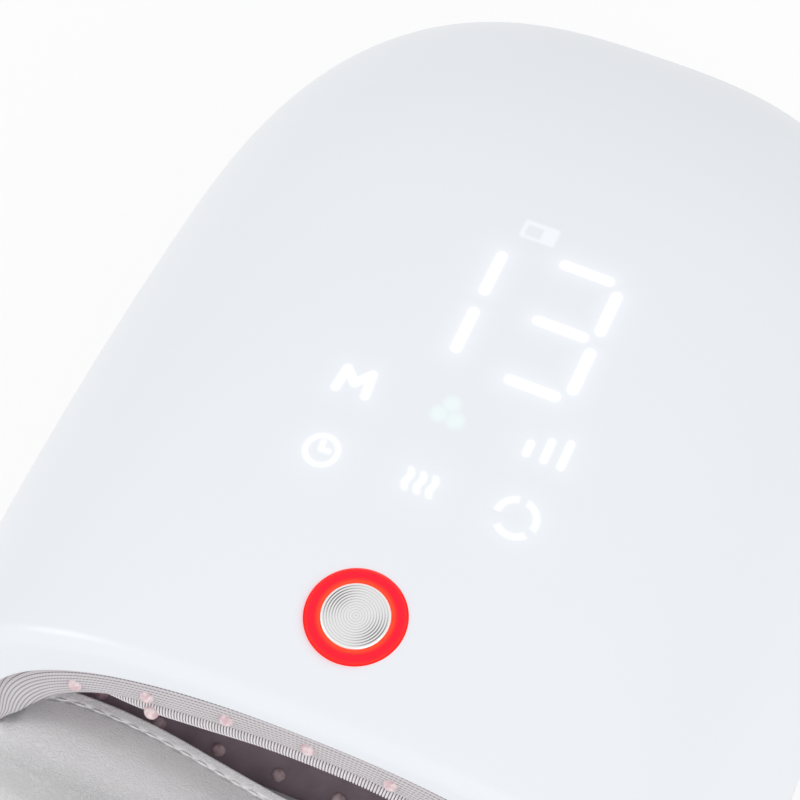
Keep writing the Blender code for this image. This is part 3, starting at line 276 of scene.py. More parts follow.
def seat(obj, body, slot, *replaced, padded=None):
    """Says which body a piece moves with and the construction that it stands for; the material slot is not used."""
    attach(obj, body)
    if replaced:
        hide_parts(*replaced)


print("mesh helpers ready")

# %% [markdown]
# Materials are node trees. Written by hand they are long, so two small classes keep them short. The first, a Wire,
# is an output socket that understands arithmetic: adding two wires adds a Math node.

# %% Wires


class Wire:
    """An output socket in a material, on which Python's operators add Math nodes."""

    def __init__(self, finish, socket):
        self.finish = finish
        self.socket = socket

    def maths(self, operation, *others):
        """This wire and up to two more through a Math node."""
        values = {place: value for place, value in enumerate((self, *others))}
        return self.finish.add("ShaderNodeMath", {"operation": operation}, values)

    def __add__(self, other):
        return self.maths("ADD", other)

    def __sub__(self, other):
        return self.maths("SUBTRACT", other)

    def __mul__(self, other):
        return self.maths("MULTIPLY", other)

    def __truediv__(self, other):
        return self.maths("DIVIDE", other)

    def __pow__(self, other):
        return self.maths("POWER", other)

    def __abs__(self):
        return self.maths("ABSOLUTE")

    def __neg__(self):
        return self.maths("MULTIPLY", -1)

    __radd__ = __add__
    __rmul__ = __mul__

    def __rsub__(self, other):
        return self.finish.add("ShaderNodeMath", {"operation": "SUBTRACT"}, {0: other, 1: self})

    def smallest(self, other):
        return self.maths("MINIMUM", other)

    def largest(self, other):
        return self.maths("MAXIMUM", other)

    def ramp(self, start, end):
        """0 up to start and 1 from end on, smooth between."""
        settings = {"interpolation_type": "SMOOTHSTEP"}
        return self.finish.add("ShaderNodeMapRange", settings, {"Value": self, "From Min": start, "From Max": end})


print("wires ready")

# %% [markdown]
# The second class, a Finish, is a material with one Principled shader. That shader covers plastic, metal, leather and
# fabric, which differ only in what is fed to it. One method adds any other node, so each finish below is a few lines.

# %% Finishes


class Finish:
    """A material with one Principled shader, and one way to add any other node."""

    def __init__(self, name, colour, roughness, metallic=0.0, **fixed):
        self.material = bpy.data.materials.new(name)
        self.material.use_nodes = True
        self.tree = self.material.node_tree
        self.shader = self.tree.nodes["Principled BSDF"]
        self.paint(Base_Color=(*colour, 1), Roughness=roughness, Metallic=metallic, **fixed)

    def feed(self, socket, value):
        """Links a wire to a socket, or sets a plain value on it."""
        if isinstance(value, Wire):
            self.tree.links.new(value.socket, socket)
        else:
            socket.default_value = value

    def add(self, kind, settings=None, inputs=None, output=0):
        """Any node, with its settings first and then its sockets."""
        node = self.tree.nodes.new(kind)
        for name, value in (settings or {}).items():
            setattr(node, name, value)
        for place, value in (inputs or {}).items():
            self.feed(node.inputs[place], value)
        return Wire(self, node.outputs[output])

    def places(self):
        """The object's own X, Y and Z as wires, in metres."""
        return self.parts(self.add("ShaderNodeTexCoord", output="Object"))

    def parts(self, vector):
        """The three numbers of a vector."""
        node = self.tree.nodes.new("ShaderNodeSeparateXYZ")
        self.feed(node.inputs[0], vector)
        return [Wire(self, output) for output in node.outputs]

    def noise(self, size, detail=2.0, roughness=0.5, stretch=(1, 1, 1)):
        """Noise whose lumps are about a size in metres."""
        coordinates = self.add("ShaderNodeTexCoord", output="Object")
        mapped = self.add("ShaderNodeMapping", inputs={"Vector": coordinates, "Scale": stretch})
        inputs = {"Vector": mapped, "Scale": 1 / size, "Detail": detail, "Roughness": roughness}
        return self.add("ShaderNodeTexNoise", inputs=inputs)

    def mix(self, factor, first, second):
        """A colour between two."""
        first = first if isinstance(first, Wire) else (*first, 1)
        second = second if isinstance(second, Wire) else (*second, 1)
        inputs = {"Factor": factor, 6: first, 7: second}
        return self.add("ShaderNodeMix", {"data_type": "RGBA"}, inputs, output=2)

    def paint(self, **sockets):
        """Feeds the Principled shader, with socket names in words joined by underscores."""
        for name, value in sockets.items():
            self.feed(self.shader.inputs[name.replace("_", " ")], value)

    def shade(self, factor, first, second):
        """Paints a colour between two."""
        self.paint(Base_Color=self.mix(factor, first, second))

    def bump(self, height, depth):
        """A bump of a depth in metres where height runs from 0 to 1."""
        self.paint(Normal=self.add("ShaderNodeBump", inputs={"Height": height, "Distance": depth}))


def length(dx, dy):
    """The length of a step across and a step along."""
    return (dx * dx + dy * dy).maths("SQRT")


def zigzag(place, pitch):
    """0 in the middle of each pitch and a half at its ends."""
    return abs((place / pitch).maths("FRACT") - 0.5)


print("finishes ready")

# %% [markdown]
# The display has no window. Light boxes under the roof shine through the white plastic, so each mark is a soft
# white shape with a faint glow round it. A picture could hold the marks, but a formula stays sharp at any size: the
# distance from a point to a rounded stroke is a few lines of arithmetic, and the least of many distances is the
# distance to the whole mark. The places are metres about the housing's middle, seen from above.

# %% The lit marks
digit_strokes = (
    ((-0.0047, 0.0114), (-0.0047, 0.0026)),
    ((-0.0047, -0.0029), (-0.0047, -0.0117)),
    ((0.0073, 0.0144), (0.0164, 0.0144)),
    ((0.0190, 0.0117), (0.0190, 0.0029)),
    ((0.0073, 0.0002), (0.0164, 0.0002)),
    ((0.0190, -0.0026), (0.0190, -0.0115)),
    ((0.0073, -0.0143), (0.0164, -0.0143)),
)
digit_width = 0.0018
letter_corners = (
    (-0.0224, -0.0283),
    (-0.0219, -0.0237),
    (-0.0193, -0.0263),
    (-0.0169, -0.0234),
    (-0.0164, -0.0282),
)
letter_width = 0.0016
clock_middle = (-0.0193, -0.0419)
clock_radius = 0.0031
clock_width = 0.0008
clock_hands = (((-0.0195, -0.0417), (-0.0197, -0.0401)), ((-0.0193, -0.0417), (-0.0180, -0.0417)))
bar_strokes = (
    ((0.0160, -0.0278), (0.0160, -0.0255)),
    ((0.0195, -0.0278), (0.0195, -0.0236)),
    ((0.0229, -0.0278), (0.0229, -0.0225)),
)
bar_width = 0.0013
wave_middle = (0.0003, -0.0413)
wave_pitch = 0.00245
wave_half_height = 0.0018
wave_swing = 0.00022
wave_width = 0.0011
arc_middle = (0.0193, -0.0410)
arc_radius = 0.0038
arc_third = math.radians(120)
arc_start = math.radians(30)
arc_half_angle = math.radians(45)
arc_width = 0.0010
battery_middle = (0.0000, 0.0196)
battery_half = (0.0030, 0.0016)
battery_hole_half = (0.0013, 0.0010)
battery_hole_middle = (battery_middle[0] - 0.0011, battery_middle[1] - 0.0002)
battery_rounding = 0.0006
battery_hole_rounding = 0.0003
leaf_places = ((-0.0021, -0.0264), (-0.0006, -0.0236), (0.0013, -0.0267))
leaf_radius = 0.0017
print("strokes:", len(digit_strokes) + len(letter_corners) - 1 + len(clock_hands) + len(bar_strokes))

# %% [markdown]
# A distance is below zero inside a mark and above it outside. For a stroke it is how far a point lies from a line,
# less half the pen's width, and for a ring how far it lies from a circle. The lesser of two distances joins marks,
# and the greater cuts one out of the other.

# %% Distances to the lit marks


def across(x, y, part_x, part_y):
    """x and y weighed and added, leaving out what weighs nothing."""
    parts = [wire * part for wire, part in ((x, part_x), (y, part_y)) if abs(part) > 1e-6]
    return parts[0] if len(parts) == 1 else parts[0] + parts[1]


def stroke(x, y, start, end, width):
    """Distance to a straight stroke with round ends."""
    reach = math.dist(start, end)
    part_x = (end[0] - start[0]) / reach
    part_y = (end[1] - start[1]) / reach
    here = across(x, y, part_x, part_y) - (start[0] * part_x + start[1] * part_y + reach / 2)
    aside = across(x, y, part_y, -part_x) - (start[0] * part_y - start[1] * part_x)
    beyond = (abs(here) - reach / 2).largest(0)
    return length(beyond, aside) - width / 2


def ring_mark(x, y, middle, radius, width):
    """Distance to a circle drawn with a pen of a width."""
    return abs(length(x - middle[0], y - middle[1]) - radius) - width / 2


def least(wires):
    """The smallest of several distances."""
    found = wires[0]
    for wire in wires[1:]:
        found = found.smallest(wire)
    return found


def arcs_mark(x, y):
    """Distance to a circle of three arcs."""
    turn = (y - arc_middle[1]).maths("ARCTAN2", x - arc_middle[0])
    off = abs((turn + (arc_third / 2 - arc_start + arc_third)).maths("MODULO", arc_third) - arc_third / 2)
    beyond = (off - arc_half_angle) * arc_radius
    return ring_mark(x, y, arc_middle, arc_radius, arc_width).largest(beyond)


def waves_mark(x, y):
    """Distance to three upright waves."""
    dy = y - wave_middle[1]
    swung = x - wave_middle[0] - (dy * (math.pi / wave_half_height)).maths("SINE") * wave_swing
    column = (swung / wave_pitch).maths("ROUND").largest(-1).smallest(1)
    dx = swung - column * wave_pitch
    beyond = (abs(dy) - wave_half_height).largest(0)
    return length(dx, beyond) - wave_width / 2


def box_mark(x, y, middle, half, rounding):
    """Distance to a box with round corners."""
    dx = (abs(x - middle[0]) - half[0]).largest(0)
    dy = (abs(y - middle[1]) - half[1]).largest(0)
    return length(dx, dy) - rounding


def battery_mark(x, y):
    """Distance to the battery's outline with its filled end."""
    body = box_mark(x, y, battery_middle, battery_half, battery_rounding)
    hole = box_mark(x, y, battery_hole_middle, battery_hole_half, battery_hole_rounding)
    return body.largest(-hole)


print("distances ready")

# %% [markdown]
# The housing is glossy white plastic with a faint cool tint. Its gloss is broad rather than sharp, and a very
# shallow, fine unevenness keeps the highlight from looking like glass.

# %% White plastic
shell_colour = (0.80, 0.825, 0.865)
shell_roughness = 0.30


def white_plastic(name):
    """Glossy white plastic, hardly uneven."""
    finish = Finish(name, shell_colour, shell_roughness, Specular_IOR_Level=0.5)
    peel = finish.noise(0.0016, detail=1)
    broad = finish.noise(0.030, detail=2)
    finish.bump(peel, 0.000008)
    finish.paint(Roughness=broad * 0.06 + (shell_roughness - 0.03))
    return finish


print("white plastic of roughness", shell_roughness)

# %% [markdown]
# Real lamps under the shell would be slow to render cleanly, so the marks are light that the plastic gives off. The
# distances above shape it: full inside a mark, fading fast at its edge, with a weak halo that reaches a few
# millimetres. The red light that the ring throws on the plastic round the button is painted into its colour, stronger
# on one side.

# %% The display's light
button_y = -0.0705
ring_outer_radius = 0.0093
ring_halo_reach = 0.00045
digit_light = 0.55
icon_light = 0.27
battery_light = 0.10
leaf_light = 0.09
halo_reach = 0.0021
digit_halo = 0.085
icon_halo = 0.05
edge_blur = 0.00048
leaf_blur = 0.0009
lamp_white = (0.94, 0.97, 1.0)
lamp_green = (0.35, 1.0, 0.55)
painted_ring_glow = (0.90, 0.16, 0.24)
spill_x, spill_y = -0.75, -0.66
spill_aside = 0.75
spill_around = 0.12


def core(distance, blur=edge_blur):
    """1 inside a mark, 0 outside."""
    return 1 - distance.ramp(-blur, blur)


def halo(distance, reach=halo_reach):
    """The glow round a mark."""
    return (distance.largest(0) * (-1 / reach)).maths("EXPONENT")


def light(finish, colour, strength):
    """A colour made as bright as a wire says."""
    return finish.add("ShaderNodeVectorMath", {"operation": "SCALE"}, {0: colour, "Scale": strength})


def glowing(finish, parts):
    """The sum of several coloured lights, fed to the shader's emission."""
    total = light(finish, *parts[0])
    for colour, strength in parts[1:]:
        inputs = {0: total, 1: light(finish, colour, strength)}
        total = finish.add("ShaderNodeVectorMath", {"operation": "ADD"}, inputs)
    finish.paint(Emission_Color=total, Emission_Strength=1.0)
    finish.material.cycles.emission_sampling = "NONE"


def lit_plastic():
    """The same plastic with the display shining through it."""
    finish = white_plastic("shell_white_lit")
    x, world_y, _ = finish.places()
    y = world_y - shift.y
    digits = least([stroke(x, y, *ends, digit_width) for ends in digit_strokes])
    letter = [stroke(x, y, a, b, letter_width) for a, b in zip(letter_corners, letter_corners[1:])]
    hands = [stroke(x, y, *ends, clock_width) for ends in clock_hands]
    bars = [stroke(x, y, *ends, bar_width) for ends in bar_strokes]
    clock = ring_mark(x, y, clock_middle, clock_radius, clock_width)
    icons = least([*letter, *hands, *bars, clock, arcs_mark(x, y), waves_mark(x, y)])
    battery = battery_mark(x, y)
    leaves = least([ring_mark(x, y, place, 0, 2 * leaf_radius) for place in leaf_places])
    ring_edge = ring_mark(x, y, (0, button_y), 0, 2 * ring_outer_radius)
    parts = [
        (lamp_white, core(digits) * digit_light + halo(digits) * digit_halo),
        (lamp_white, core(icons) * icon_light + halo(icons) * icon_halo),
        (lamp_white, core(battery) * battery_light),
        (lamp_green, core(leaves, leaf_blur) * leaf_light),
    ]
    glowing(finish, parts)
    # Painted light: the ring's red glow on the plastic round it, painted into the colour and stronger towards one
    # side.
    aside = ((x * spill_x + (y - button_y) * spill_y) / ring_outer_radius).largest(0).smallest(1)
    painted_ring_light = halo(ring_edge, ring_halo_reach) * (aside * spill_aside + spill_around)
    finish.shade(painted_ring_light, shell_colour, painted_ring_glow)
    return finish


shell_lit = lit_plastic()
shell_white = white_plastic("shell_white")
print("display material:", len(shell_lit.tree.nodes), "nodes")

# %% [markdown]
# The housing is two shells that meet at a level seam. The upper one runs from its inner face at the back, forward
# to the mouth, out through the lip, over the rounded front edge and back along its outer face, as one sheet of
# rows. The seam's open rim is then filled.

# %% The shells' rows
around_steps = 128
along_steps = 110
edge_steps = 9
lip_rounding = 0.0006
base_edge_rounding = 0.0008
inner_steps = 20
angles = np.linspace(0, math.pi, around_steps + 2 * leg_points + 1)
shares = np.sin(np.linspace(0, math.pi / 2, along_steps + 1))
inner_shares = np.sin(np.linspace(0, math.pi / 2, inner_steps + 1))


def rounding_rows(make, radius):
    """Rows round a quarter circle, from a face to the side that it turns into."""
    turns = np.linspace(0, math.pi / 2, edge_steps)
    return [make(radius * (1 - math.sin(t)), radius * (1 - math.cos(t))) for t in turns]


def shell_mesh(name, rows, drop=0.0):
    """A closed shell from rows that run in along one face and out along the other."""
    mesh = grid_mesh(name, np.asarray(rows) - np.array([0, 0, drop]))
    shape = bmesh.new()
    shape.from_mesh(mesh)
    rim = [edge for edge in shape.edges if edge.is_boundary]
    filled = bmesh.ops.holes_fill(shape, edges=rim, sides=0)["faces"]
    bmesh.ops.triangulate(shape, faces=filled)
    bmesh.ops.recalc_face_normals(shape, faces=shape.faces)
    shape.to_mesh(mesh)
    shape.free()
    return mesh


def edge_rows(radius, upper):
    """Rows of the housing's rounded front edge."""
    return rounding_rows(lambda inset, setback: housing_grid(angles, [0], inset, upper, setback)[0], radius)


def upper_rows():
    """Rows of the upper shell."""
    inner = list(housing_grid(angles, inner_shares[::-1], wall, True, wall))
    lip = [arch(around_steps, 0, wall)]
    lip += rounding_rows(lambda inset, setback: arch(around_steps, -inset, setback), lip_rounding)[::-1]
    edge = edge_rows(rim_radius, True)
    outer = list(housing_grid(angles, shares, 0, True, rim_radius))[1:]
    return [*inner, *lip, *edge, *outer]


def lower_rows():
    """Rows of the lower shell."""
    inner = list(housing_grid(angles, inner_shares[::-1], wall, False, base_edge_rounding))
    edge = edge_rows(base_edge_rounding, False)
    front = housing_grid(angles, [0], wall - base_edge_rounding, False, 0)
    outer = list(housing_grid(angles, shares, 0, False, base_edge_rounding))[1:]
    return [*inner, *front, *edge, *outer]


rows_above, rows_below = upper_rows(), lower_rows()
print("rows:", len(rows_above), "above the seam and", len(rows_below), "below")

# %% [markdown]
# The button and its ring are turned parts in a round hole that stands square on the sloping roof. One function turns
# a profile round that axis, and makes the hole's cutter too. A Boolean cuts the hole, which keeps its edge crisp.

# %% The two shells
turned_steps = 96
hole_low, hole_high = -0.008, 0.004
slope_step = 0.0005
slope_rise = roof_height(0.0, button_y + slope_step) - roof_height(0.0, button_y - slope_step)
roof_slope = math.atan2(float(slope_rise), 2 * slope_step)
button_place = Vector((0, button_y, float(roof_height(0.0, button_y)))) + shift
button_turn = Matrix.Translation(button_place) @ Matrix.Rotation(roof_slope, 4, "X")


def turned_mesh(name, profile, solid=True):
    """A profile of radius and height, turned round the button's axis. A ring's profile closes on itself."""
    spin = np.linspace(0, 2 * math.pi, turned_steps, endpoint=False)
    rows = [
        np.stack([radius * np.cos(spin), radius * np.sin(spin), np.full(turned_steps, height)], axis=-1)
        for radius, height in profile
    ]
    if not solid:
        rows.append(rows[0])
    mesh = grid_mesh(name, rows, around=True)
    mesh.transform(button_turn @ Matrix.Translation(-shift))
    return mesh


top = piece("housing_top", shell_mesh("housing_top", rows_above), shell_lit)
hole_radius = ring_outer_radius + gap
hole_profile = [(0, hole_low), (hole_radius, hole_low), (hole_radius, hole_high), (0, hole_high)]
carve(top, add_object("ring_hole", turned_mesh("ring_hole", hole_profile)))
seat(top, "housing", "white_plastic", "top_shell")
base = piece("housing_base", shell_mesh("housing_base", rows_below, gap), shell_white)
print("shells:", len(top.data.polygons), "and", len(base.data.polygons), "faces")

# %% [markdown]
# The charging socket looks out of the back through a small slot with round ends. The cutter is a rounded bar read
# from the socket's own box in the frame, a little larger all round.

# %% The slot for the charging socket
port_low, port_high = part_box("charging_port")
port_middle = (port_low + port_high) / 2
port_half = (port_high - port_low) / 2
slot_steps = 24


def slot_mesh():
    """A bar along Y, a little larger than the socket, whose ends are half circles."""
    half_x = port_half.x + gap
    half_z = port_half.z + gap
    rows = []
    for y in (port_middle.y, port_high.y + 4 * port_half.z):
        row = []
        for i in range(slot_steps):
            turn = 2 * math.pi * (i + 0.5) / slot_steps
            side = math.copysign(half_x - half_z, math.cos(turn))
            across_x = port_middle.x + side + half_z * math.cos(turn)
            row.append((across_x, y, port_middle.z + half_z * math.sin(turn)))
        rows.append(row)
    mesh = grid_mesh("port_slot", rows, around=True, caps=True)
    mesh.transform(Matrix.Translation(-shift))
    return mesh


carve(base, add_object("port_slot", slot_mesh()))
seat(base, "housing", "white_plastic", "bottom_shell")
print("port slot at", [round(1000 * v, 1) for v in port_middle])

# %% [markdown]
# Below the mouth a white plate closes the front. It follows the lower shell's inner face and has a shelf behind it,
# on which the cushion's rear edge rests.

# %% The plate under the mouth
front_plane = float(front_y(seam_height))
plate_thickness = 0.0025
plate_top = 0.0435
plate_softening = 0.0004
rest_half_width = 0.0705
shelf_narrowing = 0.0125


def plate_mesh():
    """The plate below the mouth, without its shelf."""
    ring = housing_grid(angles, [0], wall + gap, False)[0]
    high = seam_height - 2 * gap
    below = [point for point in ring if point[2] < high - gap]
    notch = rest_half_width + gap
    right = [(notch, 0, plate_top), (notch, 0, high), (ring[0][0], 0, high)]
    left = [(-x, 0, z) for x, _, z in reversed(right)]
    outline = np.array([*right, *[tuple(point) for point in below], *left])
    rows = []
    for inward, y in ((plate_softening, 0), (0, plate_softening), (0, plate_thickness)):
        row = outline.copy()
        row[:, 0] -= np.sign(row[:, 0]) * inward
        row[:, 1] = front_plane + y
        rows.append(row)
    return grid_mesh("front_plate", rows, around=True, caps=True)


shelf_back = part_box("palm_rest_carrier")[1].y
shelf_near = front_plane + shift.y + plate_thickness / 2
shelf_half_width = rest_half_width - shelf_narrowing
shelf_size = Vector((2 * shelf_half_width, shelf_back - shelf_near, plate_thickness))
shelf_middle = Vector((0, (shelf_back + shelf_near) / 2, plate_top - plate_thickness / 2))
shelf = bmesh.new()
bmesh.ops.create_cube(shelf, size=1)
for vertex in shelf.verts:
    vertex.co = Vector(a * b for a, b in zip(vertex.co, shelf_size)) + shelf_middle
shelf_mesh = bpy.data.meshes.new("shelf")
shelf.to_mesh(shelf_mesh)
shelf.free()

plate = piece("front_plate", plate_mesh(), shell_white)
carve(plate, piece("shelf", shelf_mesh, shell_white), "UNION")
seat(plate, "housing", "white_plastic", "palm_rest_carrier")
print("plate and shelf:", len(plate.data.polygons), "faces")

# %% [markdown]
# The power button is turned steel with fine rings cut into its face. The rings are real geometry, because the
# light that they catch is most of what the eye sees of it.

# %% The button
button_radius = 0.0065
button_proud = 0.0005
button_chamfer = 0.0004
button_thickness = 0.0025
stem_radius = 0.0024
stem_end = 0.0046
groove_count = 11
groove_depth = 0.00005
groove_start = 0.0004
groove_points = 6
painted_sector_x, painted_sector_y = -0.917, 0.399
painted_sector_start, painted_sector_full = 0.0015, 0.0052
fine_lines = 9000
rim_blur = 0.0001
button_sharp = 50


def button_profile():
    """Radius and height from the middle of the button's face out, down and back under it."""
    flat = button_radius - button_chamfer
    profile = [(0, button_proud)]
    for i in range(groove_count * groove_points + 1):
        share = i / (groove_count * groove_points)
        dip = groove_depth * (0.5 - 0.5 * math.cos(2 * math.pi * groove_count * share))
        profile.append((groove_start + (flat - groove_start) * share, button_proud - dip))
    for turn in np.linspace(0, math.pi / 2, 6)[1:]:
        drop = button_chamfer * (1 - math.cos(turn))
        profile.append((flat + button_chamfer * math.sin(turn), button_proud - drop))
    under = button_proud - button_thickness
    return [*profile, (button_radius, under), (stem_radius, under), (stem_radius, -stem_end), (0, -stem_end)]


def turned_steel():
    """Steel with painted reflection and shade: its grooves are painted dark, most in two opposite sectors, as turned
    metal reflects, with a pale rim.
    """
    finish = Finish("turned_steel", (0.80, 0.79, 0.79), 0.30, 1.0)
    x, y, _ = finish.places()
    dx = x - button_place.x
    dy = y - button_place.y
    radius = length(dx, dy)
    flat = button_radius - button_chamfer
    turns = (radius - groove_start) * (2 * math.pi * groove_count / (flat - groove_start))
    groove = (0.5 - turns.maths("COSINE") * 0.5) ** 2
    # Painted reflection and shade: the grooves' colour darkens, most in two opposite sectors across the grain.
    across_grain = ((dx * painted_sector_x + dy * painted_sector_y) / radius.largest(1e-5)) ** 2
    painted_reflection_sector = across_grain * across_grain * radius.ramp(painted_sector_start, painted_sector_full)
    shade = (groove * (painted_reflection_sector * 0.85 + 0.25)).smallest(1)
    face = finish.mix(shade, (0.95, 0.94, 0.94), (0.14, 0.13, 0.14))
    rim = radius.ramp(flat - rim_blur, flat + rim_blur)
    finish.shade(rim, face, (0.98, 0.98, 0.98))
    inputs = {"W": radius * fine_lines, "Scale": 1.0, "Detail": 2.0}
    lines = finish.add("ShaderNodeTexNoise", {"noise_dimensions": "1D"}, inputs)
    finish.paint(Roughness=lines * 0.16 + 0.28)
    return finish


button_mesh = turned_mesh("grooved_button", button_profile())
button = piece("grooved_button", button_mesh, turned_steel(), button_sharp)
seat(button, "button", "steel", "power_button")
print("button:", len(button.data.polygons), "faces")

# %% [markdown]
# Round the button sits a ring of clear red plastic that is lit from below: flat, level with the roof, orange at its
# inner edge. Like the display, it gives off its own light. A flange under the roof holds it.

# %% The light ring
ring_proud = 0.0002
ring_softening = 0.00025
ring_inner_radius = button_radius + gap / 2
ring_flange_radius = 0.0120
ring_flange_thickness = 0.0014
ring_flange_top = -wall - 0.0008
ring_light = 0.75
ring_inner_fade = 0.0012
ring_outer_fade = 0.0009


def ring_profile():
    """The red ring, with softened edges at the top."""
    soft = ring_softening
    under = ring_flange_top - ring_flange_thickness
    return [
        (ring_inner_radius, ring_proud - soft),
        (ring_inner_radius + soft * 0.3, ring_proud - soft * 0.3),
        (ring_inner_radius + soft, ring_proud),
        (ring_outer_radius - soft, ring_proud),
        (ring_outer_radius - soft * 0.3, ring_proud - soft * 0.3),
        (ring_outer_radius, ring_proud - soft),
        (ring_outer_radius, ring_flange_top),
        (ring_flange_radius, ring_flange_top),
        (ring_flange_radius, under),
        (ring_inner_radius, under),
    ]


def red_light():
    """Red plastic, lit from below, turning orange towards the button."""
    finish = Finish("red_light", (0.80, 0.006, 0.012), 0.35, Specular_IOR_Level=0.15)
    x, y, _ = finish.places()
    radius = length(x - button_place.x, y - button_place.y)
    inner = 1 - radius.ramp(ring_inner_radius, ring_inner_radius + ring_inner_fade)
    edge = radius.ramp(ring_outer_radius - ring_outer_fade, ring_outer_radius)
    body = finish.mix((inner + edge * 0.6).smallest(1), (0.80, 0.010, 0.034), (1.0, 0.045, 0.012))
    tint = finish.mix(inner * inner, body, (1.0, 0.10, 0.03))
    glowing(finish, [(tint, ring_light)])
    return finish


ring = piece("red_ring", turned_mesh("red_ring", ring_profile(), solid=False), red_light(), button_sharp)
seat(ring, "housing", "red_plastic", "light_ring")
print("light ring:", len(ring.data.polygons), "faces")

# %% [markdown]
# The mouth is edged with a knit band, soft and a little crowned, and then a ribbed roll. Both follow the arch. The
# band is a section carried along it. Each point keeps how far along the arch and how far across the band it lies, in
# an attribute that the knit's material reads, so that the rows of stitches follow the mouth.

# %% The knit band
band_steps = 220
trim_outer = 0.0003
trim_recess = 0.0010
trim_depth = 0.0028
band_foot = 0.0044
band_swings = (0.0, 0.045, 0.15, 0.27, 0.43, 0.60, 0.82, 0.955, 1.0)
band_insets = (0.0037, 0.0044, 0.0066, 0.0080, 0.0090, 0.0088, 0.0085, 0.0101, 0.0092)
band_softening = 15
band_points = 17
band_fullness = 3.2
knit_rows = 11
pull_reach = 0.036
pull_rows = 750


def eased(shares, stops):
    """Values that pass smoothly from stop to stop."""
    shares = np.clip(shares, stops[0][0], stops[-1][0])
    found = np.full(np.shape(shares), float(stops[-1][1]))
    for (low, first), (high, second) in zip(stops, stops[1:]):
        here = (shares >= low) & (shares < high)
        t = (shares - low) / (high - low)
        found = np.where(here, first + (second - first) * (0.5 - 0.5 * np.cos(np.pi * t)), found)
    return found


band_inner = np.interp(arch_turns(band_steps)[1], band_swings, band_insets)
band_ends = np.pad(band_inner, band_softening // 2, mode="edge")
band_inner = np.convolve(band_ends, np.full(band_softening, 1 / band_softening), mode="valid")


def band_mesh(name, section):
    """A closed band round the mouth, whose section's insets are shares of its changing width."""
    width = band_inner - trim_outer
    rows = [arch(band_steps, trim_outer + width * share, setback, band_foot) for share, setback in section]
    rows = np.transpose(np.array(rows), (1, 0, 2))
    mesh = grid_mesh(name, rows, around=True, caps=True)
    along = distances_along(rows[:, 0])
    from_foot = np.minimum(along, along[-1] - along)
    pull = -pull_rows * pull_reach / 3 * np.clip(1 - from_foot / pull_reach, 0, 1) ** 3
    shares = np.array([share for share, _ in section])
    values = np.zeros((*rows.shape[:2], 3))
    values[..., 0] = along[:, None]
    values[..., 1] = shares[None, :] * knit_rows + pull[:, None]
    values[..., 2] = shares[None, :]
    keep_values(mesh, "path", values.reshape(-1, 3))
    return mesh


def trim_section():
    """The band's section: a low crown at the front and a flat back, as shares across and setbacks."""
    front = []
    for share in np.linspace(0, 1, band_points):
        swell = 1 - abs(2 * share - 1) ** band_fullness
        front.append((share, trim_recess + trim_depth / 3 * (1 - swell)))
    back = trim_recess + trim_depth
    return [*front, (1, back), (0, back)]


band = band_mesh("knit_trim_band", trim_section())
print("knit band:", len(band.polygons), "faces")

# %% [markdown]
# Up close the band is rows of slanting stitches, darker between. Each could be a loop of yarn, but there are
# thousands, so a material draws them from the stored distances and raises them with a bump.

# %% The knit
knit_stitch = 0.00088


def knit(name, first, second):
    """Fine knit in rows along the mouth: each row a line of slanting stitches."""
    finish = Finish(name, first, 0.85, Sheen_Weight=0.35, Sheen_Roughness=0.5)
    along, row, share = finish.parts(finish.add("ShaderNodeAttribute", {"attribute_name": "path"}, output="Vector"))
    off = abs(row - row.maths("FLOOR") - 0.5)
    stitch = along / knit_stitch + off * 0.9
    step = abs(stitch - stitch.maths("FLOOR") - 0.5) * 2
    gutter = off.ramp(0.27, 0.5)
    dash = step.ramp(0.20, 0.55)
    height = (1 - gutter * 0.8) * (1 - dash * 0.45)
    mottle = finish.noise(0.004, detail=3)
    hem = share.ramp(0.935, 0.975)
    shade = (gutter * (dash * 0.66 + 0.30) + dash * 0.06 + mottle * 0.10 + hem * 0.6).smallest(1)
    finish.shade(shade, first, second)
    finish.bump(height, 0.00012)
    return finish


knit_band = knit("knit_band", (0.66, 0.62, 0.645), (0.075, 0.065, 0.075))
trim = piece("knit_trim_band", band, knit_band)
seat(trim, "housing", "knit_fabric", "knit_trim")
print("stitches in a row:", round(max(value.vector[0] for value in band.attributes["path"].data) / knit_stitch))

# %% [markdown]
# The ribs of a roll, soft nubs and stitches all repeat many times. Geometry Nodes make them from a few points and a
# few named inputs. Their trees are written in code, so short helpers add a node, a sum or a stored value, and the
# steps that end every tree.

# %% Helpers for geometry trees


def tree_with(name, lengths, counts=()):
    """An empty geometry tree with inputs for lengths, counts and a material, and its in and out nodes."""
    tree = bpy.data.node_groups.new(name, "GeometryNodeTree")
    kinds = {"Geometry": "Geometry", **dict.fromkeys(lengths, "Float"), **dict.fromkeys(counts, "Int")}
    kinds["Material"] = "Material"
    for label, kind in kinds.items():
        tree.interface.new_socket(label, in_out="INPUT", socket_type="NodeSocket" + kind)
    tree.interface.new_socket("Geometry", in_out="OUTPUT", socket_type="NodeSocketGeometry")
    return tree, tree.nodes.new("NodeGroupInput").outputs, tree.nodes.new("NodeGroupOutput").inputs


def node(tree, kind, settings=None, **inputs):
    """A node's outputs. Its sockets take values or other outputs, by names in words joined by underscores."""
    made = tree.nodes.new(kind)
    for name, value in (settings or {}).items():
        setattr(made, name, value)
    for name, value in inputs.items():
        socket = made.inputs[int(name[1:])] if name[0] == "_" else made.inputs[name.replace("_", " ")]
        if isinstance(value, bpy.types.NodeSocket):
            tree.links.new(value, socket)
        else:
            socket.default_value = value
    return made.outputs


def number(tree, operation, first, second=0.0):
    """The result of a Math node."""
    return node(tree, "ShaderNodeMath", {"operation": operation}, _0=first, _1=second)[0]


def attribute(tree, label, kind):
    """What is stored on the points under a name."""
    return node(tree, "GeometryNodeInputNamedAttribute", {"data_type": kind}, Name=label)["Attribute"]


